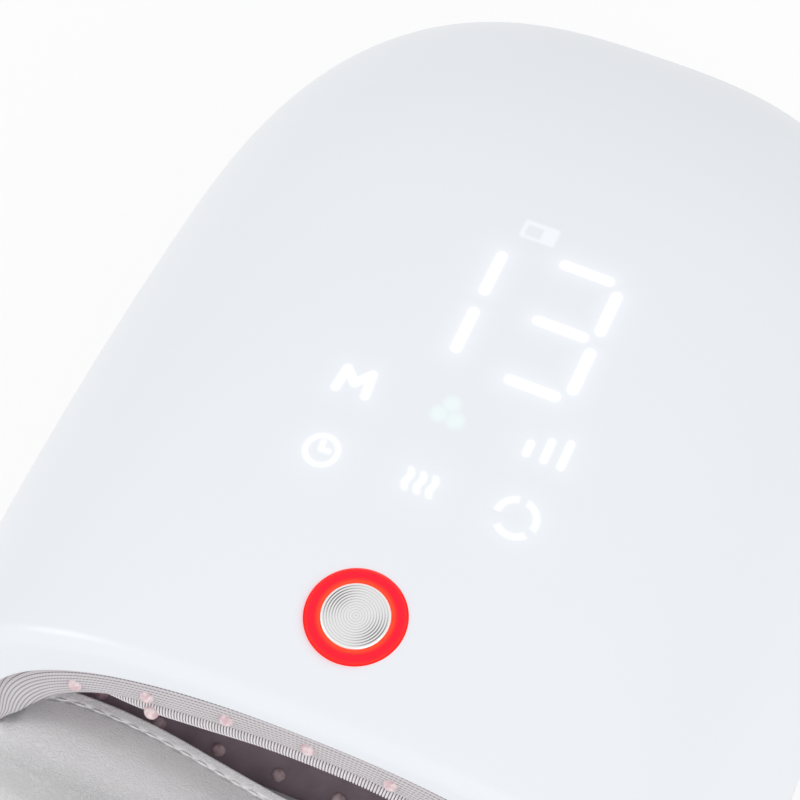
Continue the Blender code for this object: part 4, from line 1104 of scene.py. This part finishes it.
def finish_off(tree, given, result, shape):
    """The end of every tree: instances made real, shaded smooth and given their material."""
    whole = node(tree, "GeometryNodeRealizeInstances", Geometry=shape)[0]
    smooth = node(tree, "GeometryNodeSetShadeSmooth", Geometry=whole)[0]
    painted = node(tree, "GeometryNodeSetMaterial", Geometry=smooth, Material=given["Material"])[0]
    tree.links.new(painted, result[0])
    return tree


def grown(obj, tree, finish, **values):
    """The object with a geometry tree's result as its plain mesh."""
    values["Material"] = finish.material
    step = obj.modifiers.new("grow", "NODES")
    step.node_group = tree
    for item in tree.interface.items_tree:
        if item.in_out == "INPUT" and item.name in values:
            step[item.identifier] = values[item.name]
    return settle(obj)


def points_object(name, points, linked=False, **stored):
    """An object of points, linked into an open line or not, each with the values stored on it."""
    mesh = bpy.data.meshes.new(name)
    links = [(i, i + 1) for i in range(len(points) - 1)] if linked else []
    mesh.from_pydata([tuple(point) for point in points], links, [])
    for label, values in stored.items():
        keep_values(mesh, label, values)
    return add_object(name, mesh)


print("tree helpers ready")

# %% [markdown]
# The roll at the band's inner edge has hundreds of fine ribs across it. Geometry Nodes make it from one curve: the
# curve is cut into short steps, the radius of each point goes up and down with its distance along the curve, and a
# round profile is drawn along it.

# %% The ribbed roll
piping_radius = 0.0021
rib_pitch = 0.00060
rib_depth = 0.00030
rib_points = 6.0
rib_sides = 14
piping_sink = 0.0001
tucked_radius = 0.0006
tucked_setback = 0.0046
tucked_inset = -0.0014
tuck_start = 0.90
tuck_end = 0.60


def ribbed_tree():
    """A tree that turns a line into a ribbed roll."""
    tree, given, result = tree_with("ribbed_roll", ("Pitch", "Depth"))
    line = node(tree, "GeometryNodeMeshToCurve", Mesh=given["Geometry"])[0]
    step = number(tree, "DIVIDE", given["Pitch"], rib_points)
    fine = node(tree, "GeometryNodeResampleCurve", {"mode": "LENGTH"}, Curve=line, Length=step)[0]
    along = node(tree, "GeometryNodeSplineParameter")["Length"]
    angle = number(tree, "MULTIPLY", number(tree, "DIVIDE", along, given["Pitch"]), 2 * math.pi)
    low = number(tree, "SUBTRACT", number(tree, "COSINE", angle), 1.0)
    half = number(tree, "MULTIPLY", low, 0.5)
    dip = number(tree, "MULTIPLY", half, given["Depth"])
    radius = number(tree, "ADD", dip, attribute(tree, "roll_radius", "FLOAT"))
    point = {"domain": "POINT"}
    kept = node(tree, "GeometryNodeStoreNamedAttribute", point, Geometry=fine, Name="rib_dip", Value=half)[0]
    profile = node(tree, "GeometryNodeCurvePrimitiveCircle", Resolution=rib_sides, Radius=1.0)[0]
    ends = {"Profile_Curve": profile, "Scale": radius, "Fill_Caps": True}
    return finish_off(tree, given, result, node(tree, "GeometryNodeCurveToMesh", Curve=kept, **ends)[0])


def ribbed_fabric():
    """The roll's pale rubbery fabric, dark between its ribs."""
    finish = Finish("ribbed_fabric", (0.60, 0.56, 0.575), 0.62, Sheen_Weight=0.2)
    dip = -finish.add("ShaderNodeAttribute", {"attribute_name": "rib_dip"}, output="Fac")
    mottle = finish.noise(0.003, detail=3)
    pale = finish.mix(mottle, (0.88, 0.84, 0.865), (0.72, 0.675, 0.70))
    finish.shade(dip.ramp(0.50, 1.0), pale, (0.09, 0.08, 0.09))
    finish.bump(finish.noise(0.0004), 0.00003)
    return finish


tuck = eased(1 - arch_turns(band_steps)[1], ((1 - tuck_start, 0.0), (1 - tuck_end, 1.0)))
piping_radii = piping_radius + (tucked_radius - piping_radius) * tuck
open_inset = band_inner + gap + piping_radii
piping_inset = open_inset + (band_inner + tucked_inset - open_inset) * tuck
piping_setback = trim_recess + gap + piping_radius + piping_sink
piping_setbacks = piping_setback + (tucked_setback - piping_setback) * tuck
piping_points = arch(band_steps, piping_inset, piping_setbacks, band_foot) + np.array(shift)
piping = points_object("ribbed_roll", piping_points, linked=True, roll_radius=piping_radii)
grown(piping, ribbed_tree(), ribbed_fabric(), Pitch=rib_pitch, Depth=rib_depth)
seat(piping, "housing", "knit_fabric", "ribbed_piping")
print("ribbed roll:", len(piping.data.polygons), "faces")

# %% [markdown]
# Inside the mouth the hand lies between two padded linings of knit fabric. The upper one is an arch, the lower one a
# trough, and both narrow a little towards the fingertips. Their front edges are rolled over, as sewn fabric is. An
# air bag lies above the roof's lining, and its front edge shows a little, so it is made in the same way.

# %% The linings
layer_start = 0.0055
floor_layer_front = -0.0845
cavity_back = 0.046
cavity_squeeze = 0.008
cavity_drop = 0.010
floor_depth = 0.0126
lining_outer = 0.0088
lining_inner = 0.0112
lining_steps = 96
lining_rows = 25
lining_roll = 0.0012
leg_cut = 0.0065
leg_cut_end = 0.50
airbag_outer = 0.0065
airbag_inner = 0.0085


def layer_row(turns, share, inset, upper, setback=0.0):
    """One line of a lining, from side to side, at a share of the cavity's length."""
    squeeze = cavity_squeeze * share**2
    swing = np.abs(np.sin(turns)) ** (2 / lip_power)
    x = (lip_half_width - inset - squeeze) * keep_sign(np.cos(turns), 2 / lip_power)
    if upper:
        z = lip_base + gap / 2 + (lip_rise - inset - cavity_drop * share**2) * swing
        front = front_y(z) + layer_start + setback + leg_cut * np.clip(1 - swing / leg_cut_end, 0, 1)
    else:
        z = lip_base - gap / 2 - (floor_depth + lining_inner - inset) * swing
        front = np.full(z.shape, floor_layer_front + setback)
    return np.stack([x, front + share * (cavity_back - front), z], axis=-1)


def lining_mesh(name, upper, outer=lining_outer, inner=lining_inner):
    """A layer with its front edge rolled."""
    turns = np.linspace(0, math.pi, lining_steps + 1)
    middle = (outer + inner) / 2
    half = (inner - outer) / 2
    rows = [layer_row(turns, share, inner, upper, lining_roll) for share in np.linspace(1, 0, lining_rows)]
    for turn in np.linspace(0, math.pi, 9):
        inset = middle + half * math.cos(turn)
        rows.append(layer_row(turns, 0, inset, upper, lining_roll * (1 - math.sin(turn))))
    back = np.linspace(0, 1, lining_rows)[1:]
    rows += [layer_row(turns, share, outer, upper, lining_roll) for share in back]
    return grid_mesh(name, np.transpose(np.array(rows), (1, 0, 2)), around=True, caps=True)


def lining_fabric():
    """Dark mauve knit, fine and matt."""
    finish = Finish("lining_fabric", (0.20, 0.165, 0.185), 0.9, Sheen_Weight=0.2)
    mottle = finish.noise(0.005, detail=3)
    finish.shade(mottle, (0.46, 0.37, 0.42), (0.26, 0.20, 0.235))
    finish.bump(finish.noise(0.0006, detail=2), 0.00008)
    return finish


lining_knit = lining_fabric()
roof_lining = piece("roof_lining", lining_mesh("roof_lining", True), lining_knit)
floor_lining = piece("floor_lining", lining_mesh("floor_lining", False), lining_knit)
roof_airbag = piece("roof_airbag", lining_mesh("roof_airbag", True, airbag_outer, airbag_inner), lining_knit)
seat(roof_lining, "housing", "knit_fabric", "upper_lining")
seat(floor_lining, "housing", "knit_fabric", "lower_lining")
seat(roof_airbag, "housing", "airbag_film", "upper_airbag")
print("linings:", len(roof_lining.data.polygons), "and", len(floor_lining.data.polygons), "faces")

# %% [markdown]
# The palm rest is a leather cushion that hangs over the lower lip. It could be swollen by a cloth simulation, but it
# is a firm pad, and its crown, its bow and its sewn edge have to lie where the real ones do. So it is drawn as many
# sections from side to side, each a line of corners that are turned in soft curves. A groove runs along the rear
# edge, a little way in, for the stitches.

# %% The palm rest's sections
rest_reach = 0.0097
rest_edge_y = -0.0895
rest_edge_bow = 0.0048
rest_bow_place = 0.0482
rest_bow_fall = 0.0163
rest_bow_power = 3.2
rest_rear_most = -0.0955
rest_edge_heights = ((0.0, 0.0518), (0.30, 0.0522), (0.87, 0.0522), (0.912, 0.0512), (0.95, 0.0505), (1.0, 0.0462))
rest_seam_inset = 0.0023
rest_seam_width = 0.00055
rest_seam_depth = 0.00045
rest_crown = 0.0026
rest_crown_share = 0.45
rest_front_drop = 0.0070
rest_bottom = 0.0113
rest_edge_round = 0.00045
rest_front_round = 0.0085
rest_end_power = 6
rest_end_fullness = 0.4
rest_crease_round = 0.0002
rest_lip_round = 0.0003
rest_dip_round = 0.0005
rest_foot_round = 0.0004


def rest_edge(x):
    """Where the rear edge is: two lobes beside a middle that is further forward."""
    x = abs(x)
    if x < rest_bow_place:
        bow = math.sin(math.pi / 2 * x / rest_bow_place) ** 1.75
    else:
        bow = 1 - ((x - rest_bow_place) / rest_bow_fall) ** rest_bow_power
    return max(rest_edge_y + rest_edge_bow * bow, rest_rear_most)


def rounded(corners, steps=6):
    """A closed outline from corners of place and rounding, each corner turned in a soft curve."""
    points = []
    count = len(corners)
    for i, (here, radius) in enumerate(corners):
        before = corners[i - 1][0]
        after = corners[(i + 1) % count][0]
        here, before, after = (np.array(place) for place in (here, before, after))
        to_before = before - here
        to_after = after - here
        reach = min(radius, 0.49 * np.linalg.norm(to_before), 0.49 * np.linalg.norm(to_after))
        start = here + to_before / np.linalg.norm(to_before) * reach
        end = here + to_after / np.linalg.norm(to_after) * reach
        for t in np.linspace(0, 1, steps):
            points.append((1 - t) ** 2 * start + 2 * t * (1 - t) * here + t**2 * end)
    return np.array(points)


def rest_section(x):
    """The cushion's outline across the mouth, from under its rear edge, over the top and down the front."""
    share = abs(x) / rest_half_width
    fullness = (1 - min(share, 1) ** rest_end_power) ** rest_end_fullness
    back = front_plane - gap
    rear = rest_edge(x)
    under = plate_top + gap
    top = float(eased(share, rest_edge_heights))
    front = back - rest_reach * max(fullness, 0.02)
    crown = top + rest_crown * fullness**2
    bottom = under - (under - rest_bottom) * max(fullness, 0.02)
    seam = rear - rest_seam_inset
    swell = rest_front_round * max(fullness, 0.05)
    corners = [
        ((rear, under), rest_crease_round),
        ((rear, top), rest_edge_round),
        ((seam + rest_seam_width, top), rest_lip_round),
        ((seam, top - rest_seam_depth), rest_crease_round),
        ((seam - rest_seam_width, top + 0.0001), rest_dip_round),
        ((rear + (front - rear) * rest_crown_share, crown), 1),
        ((front + swell * 0.25, crown - rest_front_drop * fullness * 0.2), 1),
        ((front, crown - rest_front_drop * fullness), 1),
        ((front, (crown + bottom) / 2), 1),
        ((front + swell * 0.12, bottom + swell * 0.45), 1),
        ((front + swell * 0.55, bottom), 1),
        ((back, bottom), rest_foot_round),
        ((back, under), 0.00005),
    ]
    outline = rounded(corners)
    return np.stack([np.full(len(outline), x), outline[:, 0], outline[:, 1]], axis=-1)


print("points in a section:", len(rest_section(0.0)))

# %% [markdown]
# A little noise makes the cushion uneven where the leather is free, and one subdivision smooths it. The leather's
# grain is too fine for geometry, so a material draws it: short wrinkles and a fine pebble, raised with a bump. Its
# colour also holds painted light: paler ridges as painted highlights, and a lightening towards the rear, where the
# lip shades it.

# %% The cushion and its leather
rest_columns = 161
rest_unevenness = 0.00022
rest_side_share = 0.995
rest_still_height = 0.006
rest_still_fade = 0.002
rest_lumps, rest_small_lumps = 70, 190
painted_light_front_y, painted_light_rear_y = -0.110, -0.092


def rest_mesh():
    """The cushion from side to side, with a little unevenness where the leather is free."""
    turns = np.linspace(-math.pi / 2, math.pi / 2, rest_columns)
    rows = np.array([rest_section(rest_half_width * rest_side_share * math.sin(turn)) for turn in turns])
    for point in rows.reshape(-1, 3):
        seated = point[1] > front_plane - 2 * gap
        free = min(max((point[2] - plate_top - rest_still_height) / rest_still_fade, 0), 1) if seated else 1
        lump = noise.noise(Vector(point) * rest_lumps) + 0.5 * noise.noise(Vector(point) * rest_small_lumps)
        point[2] += rest_unevenness * free * lump
    return grid_mesh("palm_cushion", rows, around=True, caps=True)


def leather():
    """Pale grey leather: short wrinkles, a fine pebble, slow changes of tone and a soft shine, with painted
    highlights along the wrinkles and painted light that pales it towards the rear, where the lip shades it.
    """
    finish = Finish("grey_leather", (0.46, 0.455, 0.46), 0.30, Specular_IOR_Level=0.9, Sheen_Weight=0.6)
    _, y, _ = finish.places()
    broad = finish.noise(0.014, detail=3)
    wrinkle = finish.noise(0.00085, detail=2, roughness=0.55, stretch=(1, 1.4, 1))
    pebble = finish.noise(0.00042, detail=2)
    # The wrinkles' ridges: raised in the bump, and painted paler in colour as painted highlights.
    crease_and_painted_highlight = 1 - abs(wrinkle - 0.5).ramp(0.0, 0.06)
    # Painted light: the colour pales from the front towards the rear, where the lip above shades the leather.
    rear = y.ramp(shift.y + painted_light_front_y, shift.y + painted_light_rear_y)
    pale_with_painted_light = finish.mix(rear, (0.44, 0.442, 0.448), (0.97, 0.955, 0.97))
    dark_with_painted_light = finish.mix(rear, (0.385, 0.385, 0.392), (0.93, 0.915, 0.93))
    tone = (broad * 0.5 + (1 - crease_and_painted_highlight) * 0.15 + pebble * 0.15).smallest(1)
    finish.shade(tone, pale_with_painted_light, dark_with_painted_light)
    finish.paint(Roughness=pebble * 0.20 + 0.22)
    finish.bump(wrinkle * 0.6 + crease_and_painted_highlight * 0.3 + pebble * 0.45, 0.00020)
    return finish


cushion = piece("palm_cushion", rest_mesh(), leather())
round_off = cushion.modifiers.new("round", "SUBSURF")
round_off.levels = 1
round_off.render_levels = 1
settle(cushion)
cushion.data.shade_smooth()
seat(cushion, "housing", "grey_leather", "palm_rest", padded=0.8)
print("cushion:", len(cushion.data.polygons), "faces")

# %% [markdown]
# Small soft nubs of silicone are set into the fabric, in a row along the knit band and in a grid on the linings.
# Geometry Nodes make them: a cloud of points carries the direction that each nub faces, and a small dome is put on
# every point, turned to that direction and scaled to its radius. The domes are then made real and given a finish.

# %% A nub
nub_radius = 0.00150
nub_height = 0.0012
nub_sink = 0.0003


def beads(tree, given, result, points, facing, segments, height):
    """Round beads on points, each turned to face a way and scaled to its radius and height."""
    turn = node(tree, "FunctionNodeAlignRotationToVector", {"axis": "Z"}, Vector=facing)[0]
    ball = node(tree, "GeometryNodeMeshUVSphere", Rings=8, Radius=1.0, Segments=segments)["Mesh"]
    size = node(tree, "ShaderNodeCombineXYZ", _0=given["Radius"], _1=given["Radius"], _2=height)[0]
    sockets = {"Points": points, "Instance": ball, "Rotation": turn, "Scale": size}
    return finish_off(tree, given, result, node(tree, "GeometryNodeInstanceOnPoints", **sockets)[0])


def nub_tree():
    """A tree that puts a low dome on every point."""
    tree, given, result = tree_with("nubs", ("Radius", "Height"), ("Steps",))
    points = node(tree, "GeometryNodeMeshToPoints", Mesh=given["Geometry"])[0]
    facing = attribute(tree, "facing", "FLOAT_VECTOR")
    return beads(tree, given, result, points, facing, given["Steps"], given["Height"])


def silicone_nub():
    """Pale pink silicone, a little see-through, with a wet shine."""
    finish = Finish("pink_silicone", (0.70, 0.50, 0.53), 0.25, Subsurface_Weight=0.2)
    finish.paint(Subsurface_Radius=(0.0010, 0.0006, 0.0006), Subsurface_Scale=1.0)
    mottle = finish.noise(0.0012, detail=2)
    finish.shade(mottle.ramp(0.35, 0.65), (0.79, 0.68, 0.695), (0.66, 0.46, 0.495))
    finish.bump(finish.noise(0.0003), 0.00002)
    return finish


nub_finish = silicone_nub()
nubs = nub_tree()
print(f"nub: {2000 * nub_radius:.1f} mm across")

# %% [markdown]
# The nubs' places are measured along the mouth's arch and on the linings, and then moved to the nearest point of the
# finished mesh. A search tree finds that point and tells which way the surface faces there. A few more nubs peep out
# from under the ribbed roll.

# %% Where the nubs sit
band_nub_spacing = 0.0163
band_nub_share = 0.58
band_nub_count = 3
lining_nub_spacing = 0.0130
lining_nub_start = 0.0035
lining_nub_edge = 0.006
lining_nub_end = 0.004
lining_nub_turn = 0.02
lining_nub_steps = 400
roll_nub_places = ((-0.031, 5.0), (-0.006, -0.7), (0.009, -0.7), (0.018, 5.0), (0.034, -0.7))


def surface_of(obj):
    """A mesh made ready for nearest-point questions."""
    return BVHTree.FromObject(obj, bpy.context.evaluated_depsgraph_get())


def point_along(line, along, distance):
    """The point at a distance along a line, moved to its place on the part."""
    return Vector([float(np.interp(distance, along, line[:, axis])) for axis in range(3)]) + shift


def nub_spot(surface, point, towards=None):
    """The nearest place on a surface, a little under it, and the way out, which may have to lean towards a side."""
    place, normal, _, _ = surface.find_nearest(point)
    if towards is not None and normal.dot(towards(place)) < 0:
        normal = -normal
    return place - normal * nub_sink, normal


def band_nubs():
    """Places along the middle of the knit band at even steps from its crown."""
    surface = surface_of(trim)
    line = arch(band_steps, trim_outer + (band_inner - trim_outer) * band_nub_share, trim_recess)
    along = distances_along(line)
    spots = []
    for i in range(-band_nub_count, band_nub_count + 1):
        point = point_along(line, along, along[-1] / 2 + i * band_nub_spacing)
        spots.append(nub_spot(surface, point, lambda place: Vector((0, -1, 0))))
    return spots


def lining_nubs(lining, upper):
    """Places on a lining's inner face, a staggered grid."""
    surface = surface_of(lining)
    turns = np.linspace(lining_nub_turn, math.pi - lining_nub_turn, lining_nub_steps)
    depth = cavity_back - floor_layer_front
    spots = []
    for row in range(int((depth - lining_nub_edge) / lining_nub_spacing) + 1):
        line = layer_row(turns, (lining_nub_start + row * lining_nub_spacing) / depth, lining_inner, upper)
        along = distances_along(line)
        half = along[-1] / 2
        count = int((half - lining_nub_edge) / lining_nub_spacing)
        offset = lining_nub_spacing / 2 if row % 2 else 0.0
        for i in range(-count, count + 1):
            at = half + i * lining_nub_spacing + offset
            if at <= along[-1] - lining_nub_end:
                point = point_along(line, along, at)
                spots.append(nub_spot(surface, point, lambda place: Vector((-place.x, 0, lip_base - place.z))))
    return spots


def roll_nubs():
    """Places low on the ribbed roll, where nubs peep out from under it."""
    surface = surface_of(piping)
    spots = []
    for x, forward in roll_nub_places:
        i = int(np.argmin(np.abs(piping_points[:, 0] - x)))
        aside = Vector((0, -forward, -1)) * 2 * piping_radius
        spots.append(nub_spot(surface, Vector(piping_points[i]) + aside))
    return spots


nub_places = {
    "band_nubs": (band_nubs(), 24),
    "roll_nubs": (roll_nubs(), 24),
    "roof_nubs": (lining_nubs(roof_lining, True), 12),
    "floor_nubs": (lining_nubs(floor_lining, False), 12),
}
for name, (spots, steps) in nub_places.items():
    domes = points_object(name, [place for place, _ in spots], facing=[normal for _, normal in spots])
    grown(domes, nubs, nub_finish, Radius=nub_radius, Height=nub_height + nub_sink, Steps=steps)
    seat(domes, "housing", "silicone")
    print(name + ":", len(spots), "nubs")

# %% [markdown]
# The cushion's groove is sewn. Each stitch is a short round thread, and Geometry Nodes set one at every step of the
# groove's line, turned along it. The line is laid on the cushion first, point by point, so that the thread rests on
# the leather.

# %% The stitches
stitch_pitch = 0.00380
stitch_length = 0.0025
stitch_radius = 0.00028
stitch_lift = 1.2
rest_seam_end = 0.0600
seam_points = 161
above_all = 0.08


def seam_line():
    """The groove's line, laid on the cushion."""
    surface = surface_of(cushion)
    points = []
    for x in np.linspace(-rest_seam_end, rest_seam_end, seam_points):
        y = rest_edge(x) - rest_seam_inset + shift.y
        hit, normal, _, _ = surface.ray_cast(Vector((x, y, above_all)), Vector((0, 0, -1)))
        if hit is not None:
            points.append(hit + normal * stitch_radius * stitch_lift)
    return points


def stitch_tree():
    """A tree that sets a short thread at every step of a line."""
    tree, given, result = tree_with("stitches", ("Pitch", "Length", "Radius"))
    line = node(tree, "GeometryNodeMeshToCurve", Mesh=given["Geometry"])[0]
    by_length = {"mode": "LENGTH"}
    places = node(tree, "GeometryNodeCurveToPoints", by_length, Curve=line, Length=given["Pitch"])
    half = number(tree, "MULTIPLY", given["Length"], 0.5)
    return beads(tree, given, result, places["Points"], places["Tangent"], 8, half)


def thread_finish():
    """Pale twisted thread."""
    finish = Finish("pale_thread", (0.95, 0.95, 0.95), 0.6, Sheen_Weight=0.3)
    twist = finish.noise(0.0003, detail=2)
    finish.shade(twist, (0.98, 0.98, 0.98), (0.86, 0.86, 0.86))
    finish.bump(twist, 0.00006)
    return finish


stitches = points_object("stitches", seam_line(), linked=True)
stitch_sizes = {"Pitch": stitch_pitch, "Length": stitch_length, "Radius": stitch_radius}
grown(stitches, stitch_tree(), thread_finish(), **stitch_sizes)
seat(stitches, "housing", "knit_fabric")
print("stitches:", len(stitches.data.polygons), "faces")

# %% [markdown]
# What is inside keeps the construction's own meshes and only needs its finishes: matt plastics, turned and drawn
# metal, boards with their copper tracks, cells in a blue sleeve, rubber and clear hose. One function makes a plain
# finish with a little grain, and a few add what is special.

# %% Special finishes


def grained(name, colour, roughness, metallic=0.0, size=0.0012, depth=0.00002, spread=0.12, stretch=(1, 1, 1)):
    """A finish with slow changes of tone and a fine grain."""
    finish = Finish(name, colour, roughness, metallic)
    dark = tuple(part * (1 - spread) for part in colour)
    pale = tuple(min(part * (1 + spread), 1) for part in colour)
    slow = finish.noise(size * 12, detail=3)
    grain = finish.noise(size, detail=2, stretch=stretch)
    finish.shade(slow * 0.7 + grain * 0.3, dark, pale)
    finish.paint(Roughness=grain * 0.12 + (roughness - 0.06))
    finish.bump(grain, depth)
    return finish


def board_finish():
    """A green board whose copper tracks show through the lacquer."""
    finish = grained("circuit_board", (0.025, 0.16, 0.07), 0.42)
    x, y, _ = finish.places()
    patch = finish.noise(0.006, detail=0)
    across_board = zigzag(x, 0.0018).ramp(0.30, 0.36) * patch.ramp(0.48, 0.50)
    along_board = zigzag(y, 0.0026).ramp(0.34, 0.40) * (1 - patch.ramp(0.44, 0.46))
    tracks = across_board.largest(along_board)
    finish.shade(tracks, (0.02, 0.13, 0.055), (0.05, 0.26, 0.11))
    finish.bump(tracks, 0.00003)
    return finish


def cell_finish():
    """A blue sleeve with bare metal at both ends."""
    finish = grained("battery_cell", (0.04, 0.16, 0.46), 0.35)
    x, _, _ = finish.places()
    end = abs(x).ramp(0.0312, 0.0316)
    finish.shade(end, (0.04, 0.16, 0.46), (0.60, 0.60, 0.60))
    finish.paint(Metallic=end)
    return finish


def winding_finish():
    """Varnished copper wire in close turns."""
    finish = grained("copper_winding", (0.70, 0.34, 0.16), 0.35, 1.0)
    _, _, z = finish.places()
    finish.bump(zigzag(z, 0.0005) * 2, 0.00012)
    return finish


def film_finish():
    """Thin milky film with a pressed weave."""
    finish = grained("airbag_film", (0.70, 0.71, 0.68), 0.38, size=0.0008, depth=0.00003)
    x, y, _ = finish.places()
    finish.bump(zigzag(x, 0.0009) + zigzag(y, 0.0009), 0.00003)
    return finish


print("special finishes ready")

# %% [markdown]
# Each material slot inside gets one finish, and a loop hands them out to the pieces that still show.

# %% The inner pieces' finishes
inner_finishes = {
    "white_plastic": grained("inner_white", (0.78, 0.80, 0.83), 0.4),
    "grey_plastic": grained("grey_plastic", (0.26, 0.27, 0.29), 0.52, 0.0, 0.0007, 0.00003),
    "black_plastic": grained("black_plastic", (0.022, 0.022, 0.024), 0.48, 0.0, 0.0007, 0.00003),
    "airbag_film": film_finish(),
    "rubber": grained("rubber", (0.045, 0.045, 0.047), 0.75, 0.0, 0.0005, 0.00004),
    "silicone": grained("clear_silicone", (0.66, 0.68, 0.68), 0.30),
    "steel": grained("steel", (0.60, 0.60, 0.61), 0.33, 1.0, 0.0004, 0.00001, stretch=(1, 1, 8)),
    "copper": winding_finish(),
    "motor_can": grained("motor_can", (0.55, 0.55, 0.56), 0.30, 1.0, 0.0006, 0.00001, stretch=(12, 1, 1)),
    "circuit_board": board_finish(),
    "battery_cell": cell_finish(),
}
shown = 0
for row in frame["record"]["subparts"]:
    inner = nodes[row["node"]]
    if row["material_slot"] in inner_finishes and not inner.hide_render:
        inner.data.materials.clear()
        inner.data.materials.append(inner_finishes[row["material_slot"]].material)
        shown += 1
print("inner pieces with a finish:", shown)

# %% [markdown]
# A coil spring returns the release valve, and it shortens as the plunger goes down. The coil is made here as one
# wire with a round section and closed ends, wound in even turns within the spring's box in the frame.

# %% The valve's spring
spring_low, spring_high = (Vector(corner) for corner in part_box("valve_spring"))
spring_wire = 0.00035
spring_turns = 4
turn_steps = 24
wire_sides = 10
spring_sharp = 60


def spring_mesh():
    """One wire wound in even turns, from a ring of points at each step."""
    radius = (spring_high.x - spring_low.x) / 2 - spring_wire
    foot = (spring_low + spring_high) / 2 - shift
    foot.z = spring_low.z + spring_wire
    rise = Vector((0, 0, spring_high.z - spring_low.z - 2 * spring_wire))
    steps = spring_turns * turn_steps
    rows = []
    for step in range(steps + 1):
        turn = 2 * math.pi * step / turn_steps
        out = Vector((math.cos(turn), math.sin(turn), 0))
        middle = foot + out * radius + rise * step / steps
        ring = []
        for side in range(wire_sides):
            around = 2 * math.pi * side / wire_sides
            ring.append(middle + (out * math.cos(around) + Vector((0, 0, math.sin(around)))) * spring_wire)
        rows.append(ring)
    return grid_mesh("release_spring", rows, around=True, caps=True)


release_spring = piece("release_spring", spring_mesh(), inner_finishes["steel"], spring_sharp)
seat(release_spring, "housing", "steel", "valve_spring")
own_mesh(release_spring)

# %% [markdown]
# The photograph was taken from above and to the right, close to the front. The camera's place was fitted to the
# housing's outline, so it is written as a place and a target about the housing's middle.

# %% The camera
camera_place = Vector((0.099554, -0.284660, 0.594758))
camera_target = Vector((-0.012005, -0.021776, 0.095))
camera_lens = 135.644


def aimed(name, data, place, direction):
    """An object at a place, turned to look in a direction."""
    obj = add_object(name, data)
    obj.location = place
    obj.rotation_mode = "QUATERNION"
    obj.rotation_quaternion = direction.to_track_quat("-Z", "Y")
    return obj


camera_data = bpy.data.cameras.new("camera")
camera_data.lens = camera_lens
camera_data.sensor_width = 36
camera_data.clip_start = 0.01
camera_data.clip_end = 20
camera_way = camera_target - camera_place
bpy.context.scene.camera = aimed("camera", camera_data, camera_place + shift, camera_way)
print("camera:", round(camera_way.length, 3), "m from what it looks at")

# %% [markdown]
# The floor is pale and reaches far beyond the object. Seen directly it is mostly plain white, so the background is
# clean, but part of it still takes light and shadow. Lamps are large and soft, and the world adds an even light.

# %% Floor and light
floor_size = 6.0
floor_white_share = 0.85
world_strength = 0.85
lamp_target = (0, 0, 0.05)


def floor_finish():
    """White to the camera, and a plain pale surface to everything else."""
    finish = Finish("floor_white", (0.88, 0.88, 0.88), 0.9)
    rays = ("Is Camera Ray", "Is Glossy Ray", "Is Transmission Ray")
    camera_ray, glossy_ray, clear_ray = (finish.add("ShaderNodeLightPath", output=ray) for ray in rays)
    share = (camera_ray + glossy_ray + clear_ray).smallest(1) * floor_white_share
    bright = finish.add("ShaderNodeEmission", inputs={"Strength": 1.0})
    sides = {0: share, 1: Wire(finish, finish.shader.outputs[0]), 2: bright}
    blend = finish.add("ShaderNodeMixShader", inputs=sides)
    finish.feed(finish.tree.nodes["Material Output"].inputs["Surface"], blend)
    return finish.material


bpy.ops.mesh.primitive_plane_add(size=floor_size)
floor = bpy.context.object
floor.name = "floor"
floor.data.materials.append(floor_finish())

world = bpy.data.worlds.new("studio")
world.use_nodes = True
sky = world.node_tree.nodes["Background"].inputs
sky["Color"].default_value = (1, 1, 1, 1)
sky["Strength"].default_value = world_strength
bpy.context.scene.world = world
bpy.context.scene.view_settings.view_transform = "Standard"


def soft_lamp(name, place, size, watts):
    """A large square lamp that looks at the housing."""
    data = bpy.data.lights.new(name, "AREA")
    data.size = size
    data.energy = watts
    aimed(name, data, place, Vector(lamp_target) - Vector(place))


soft_lamp("key", (0.98, -0.72, 1.0), 0.8, 5)
soft_lamp("fill", (-1.1, -0.5, 0.85), 0.5, 3)
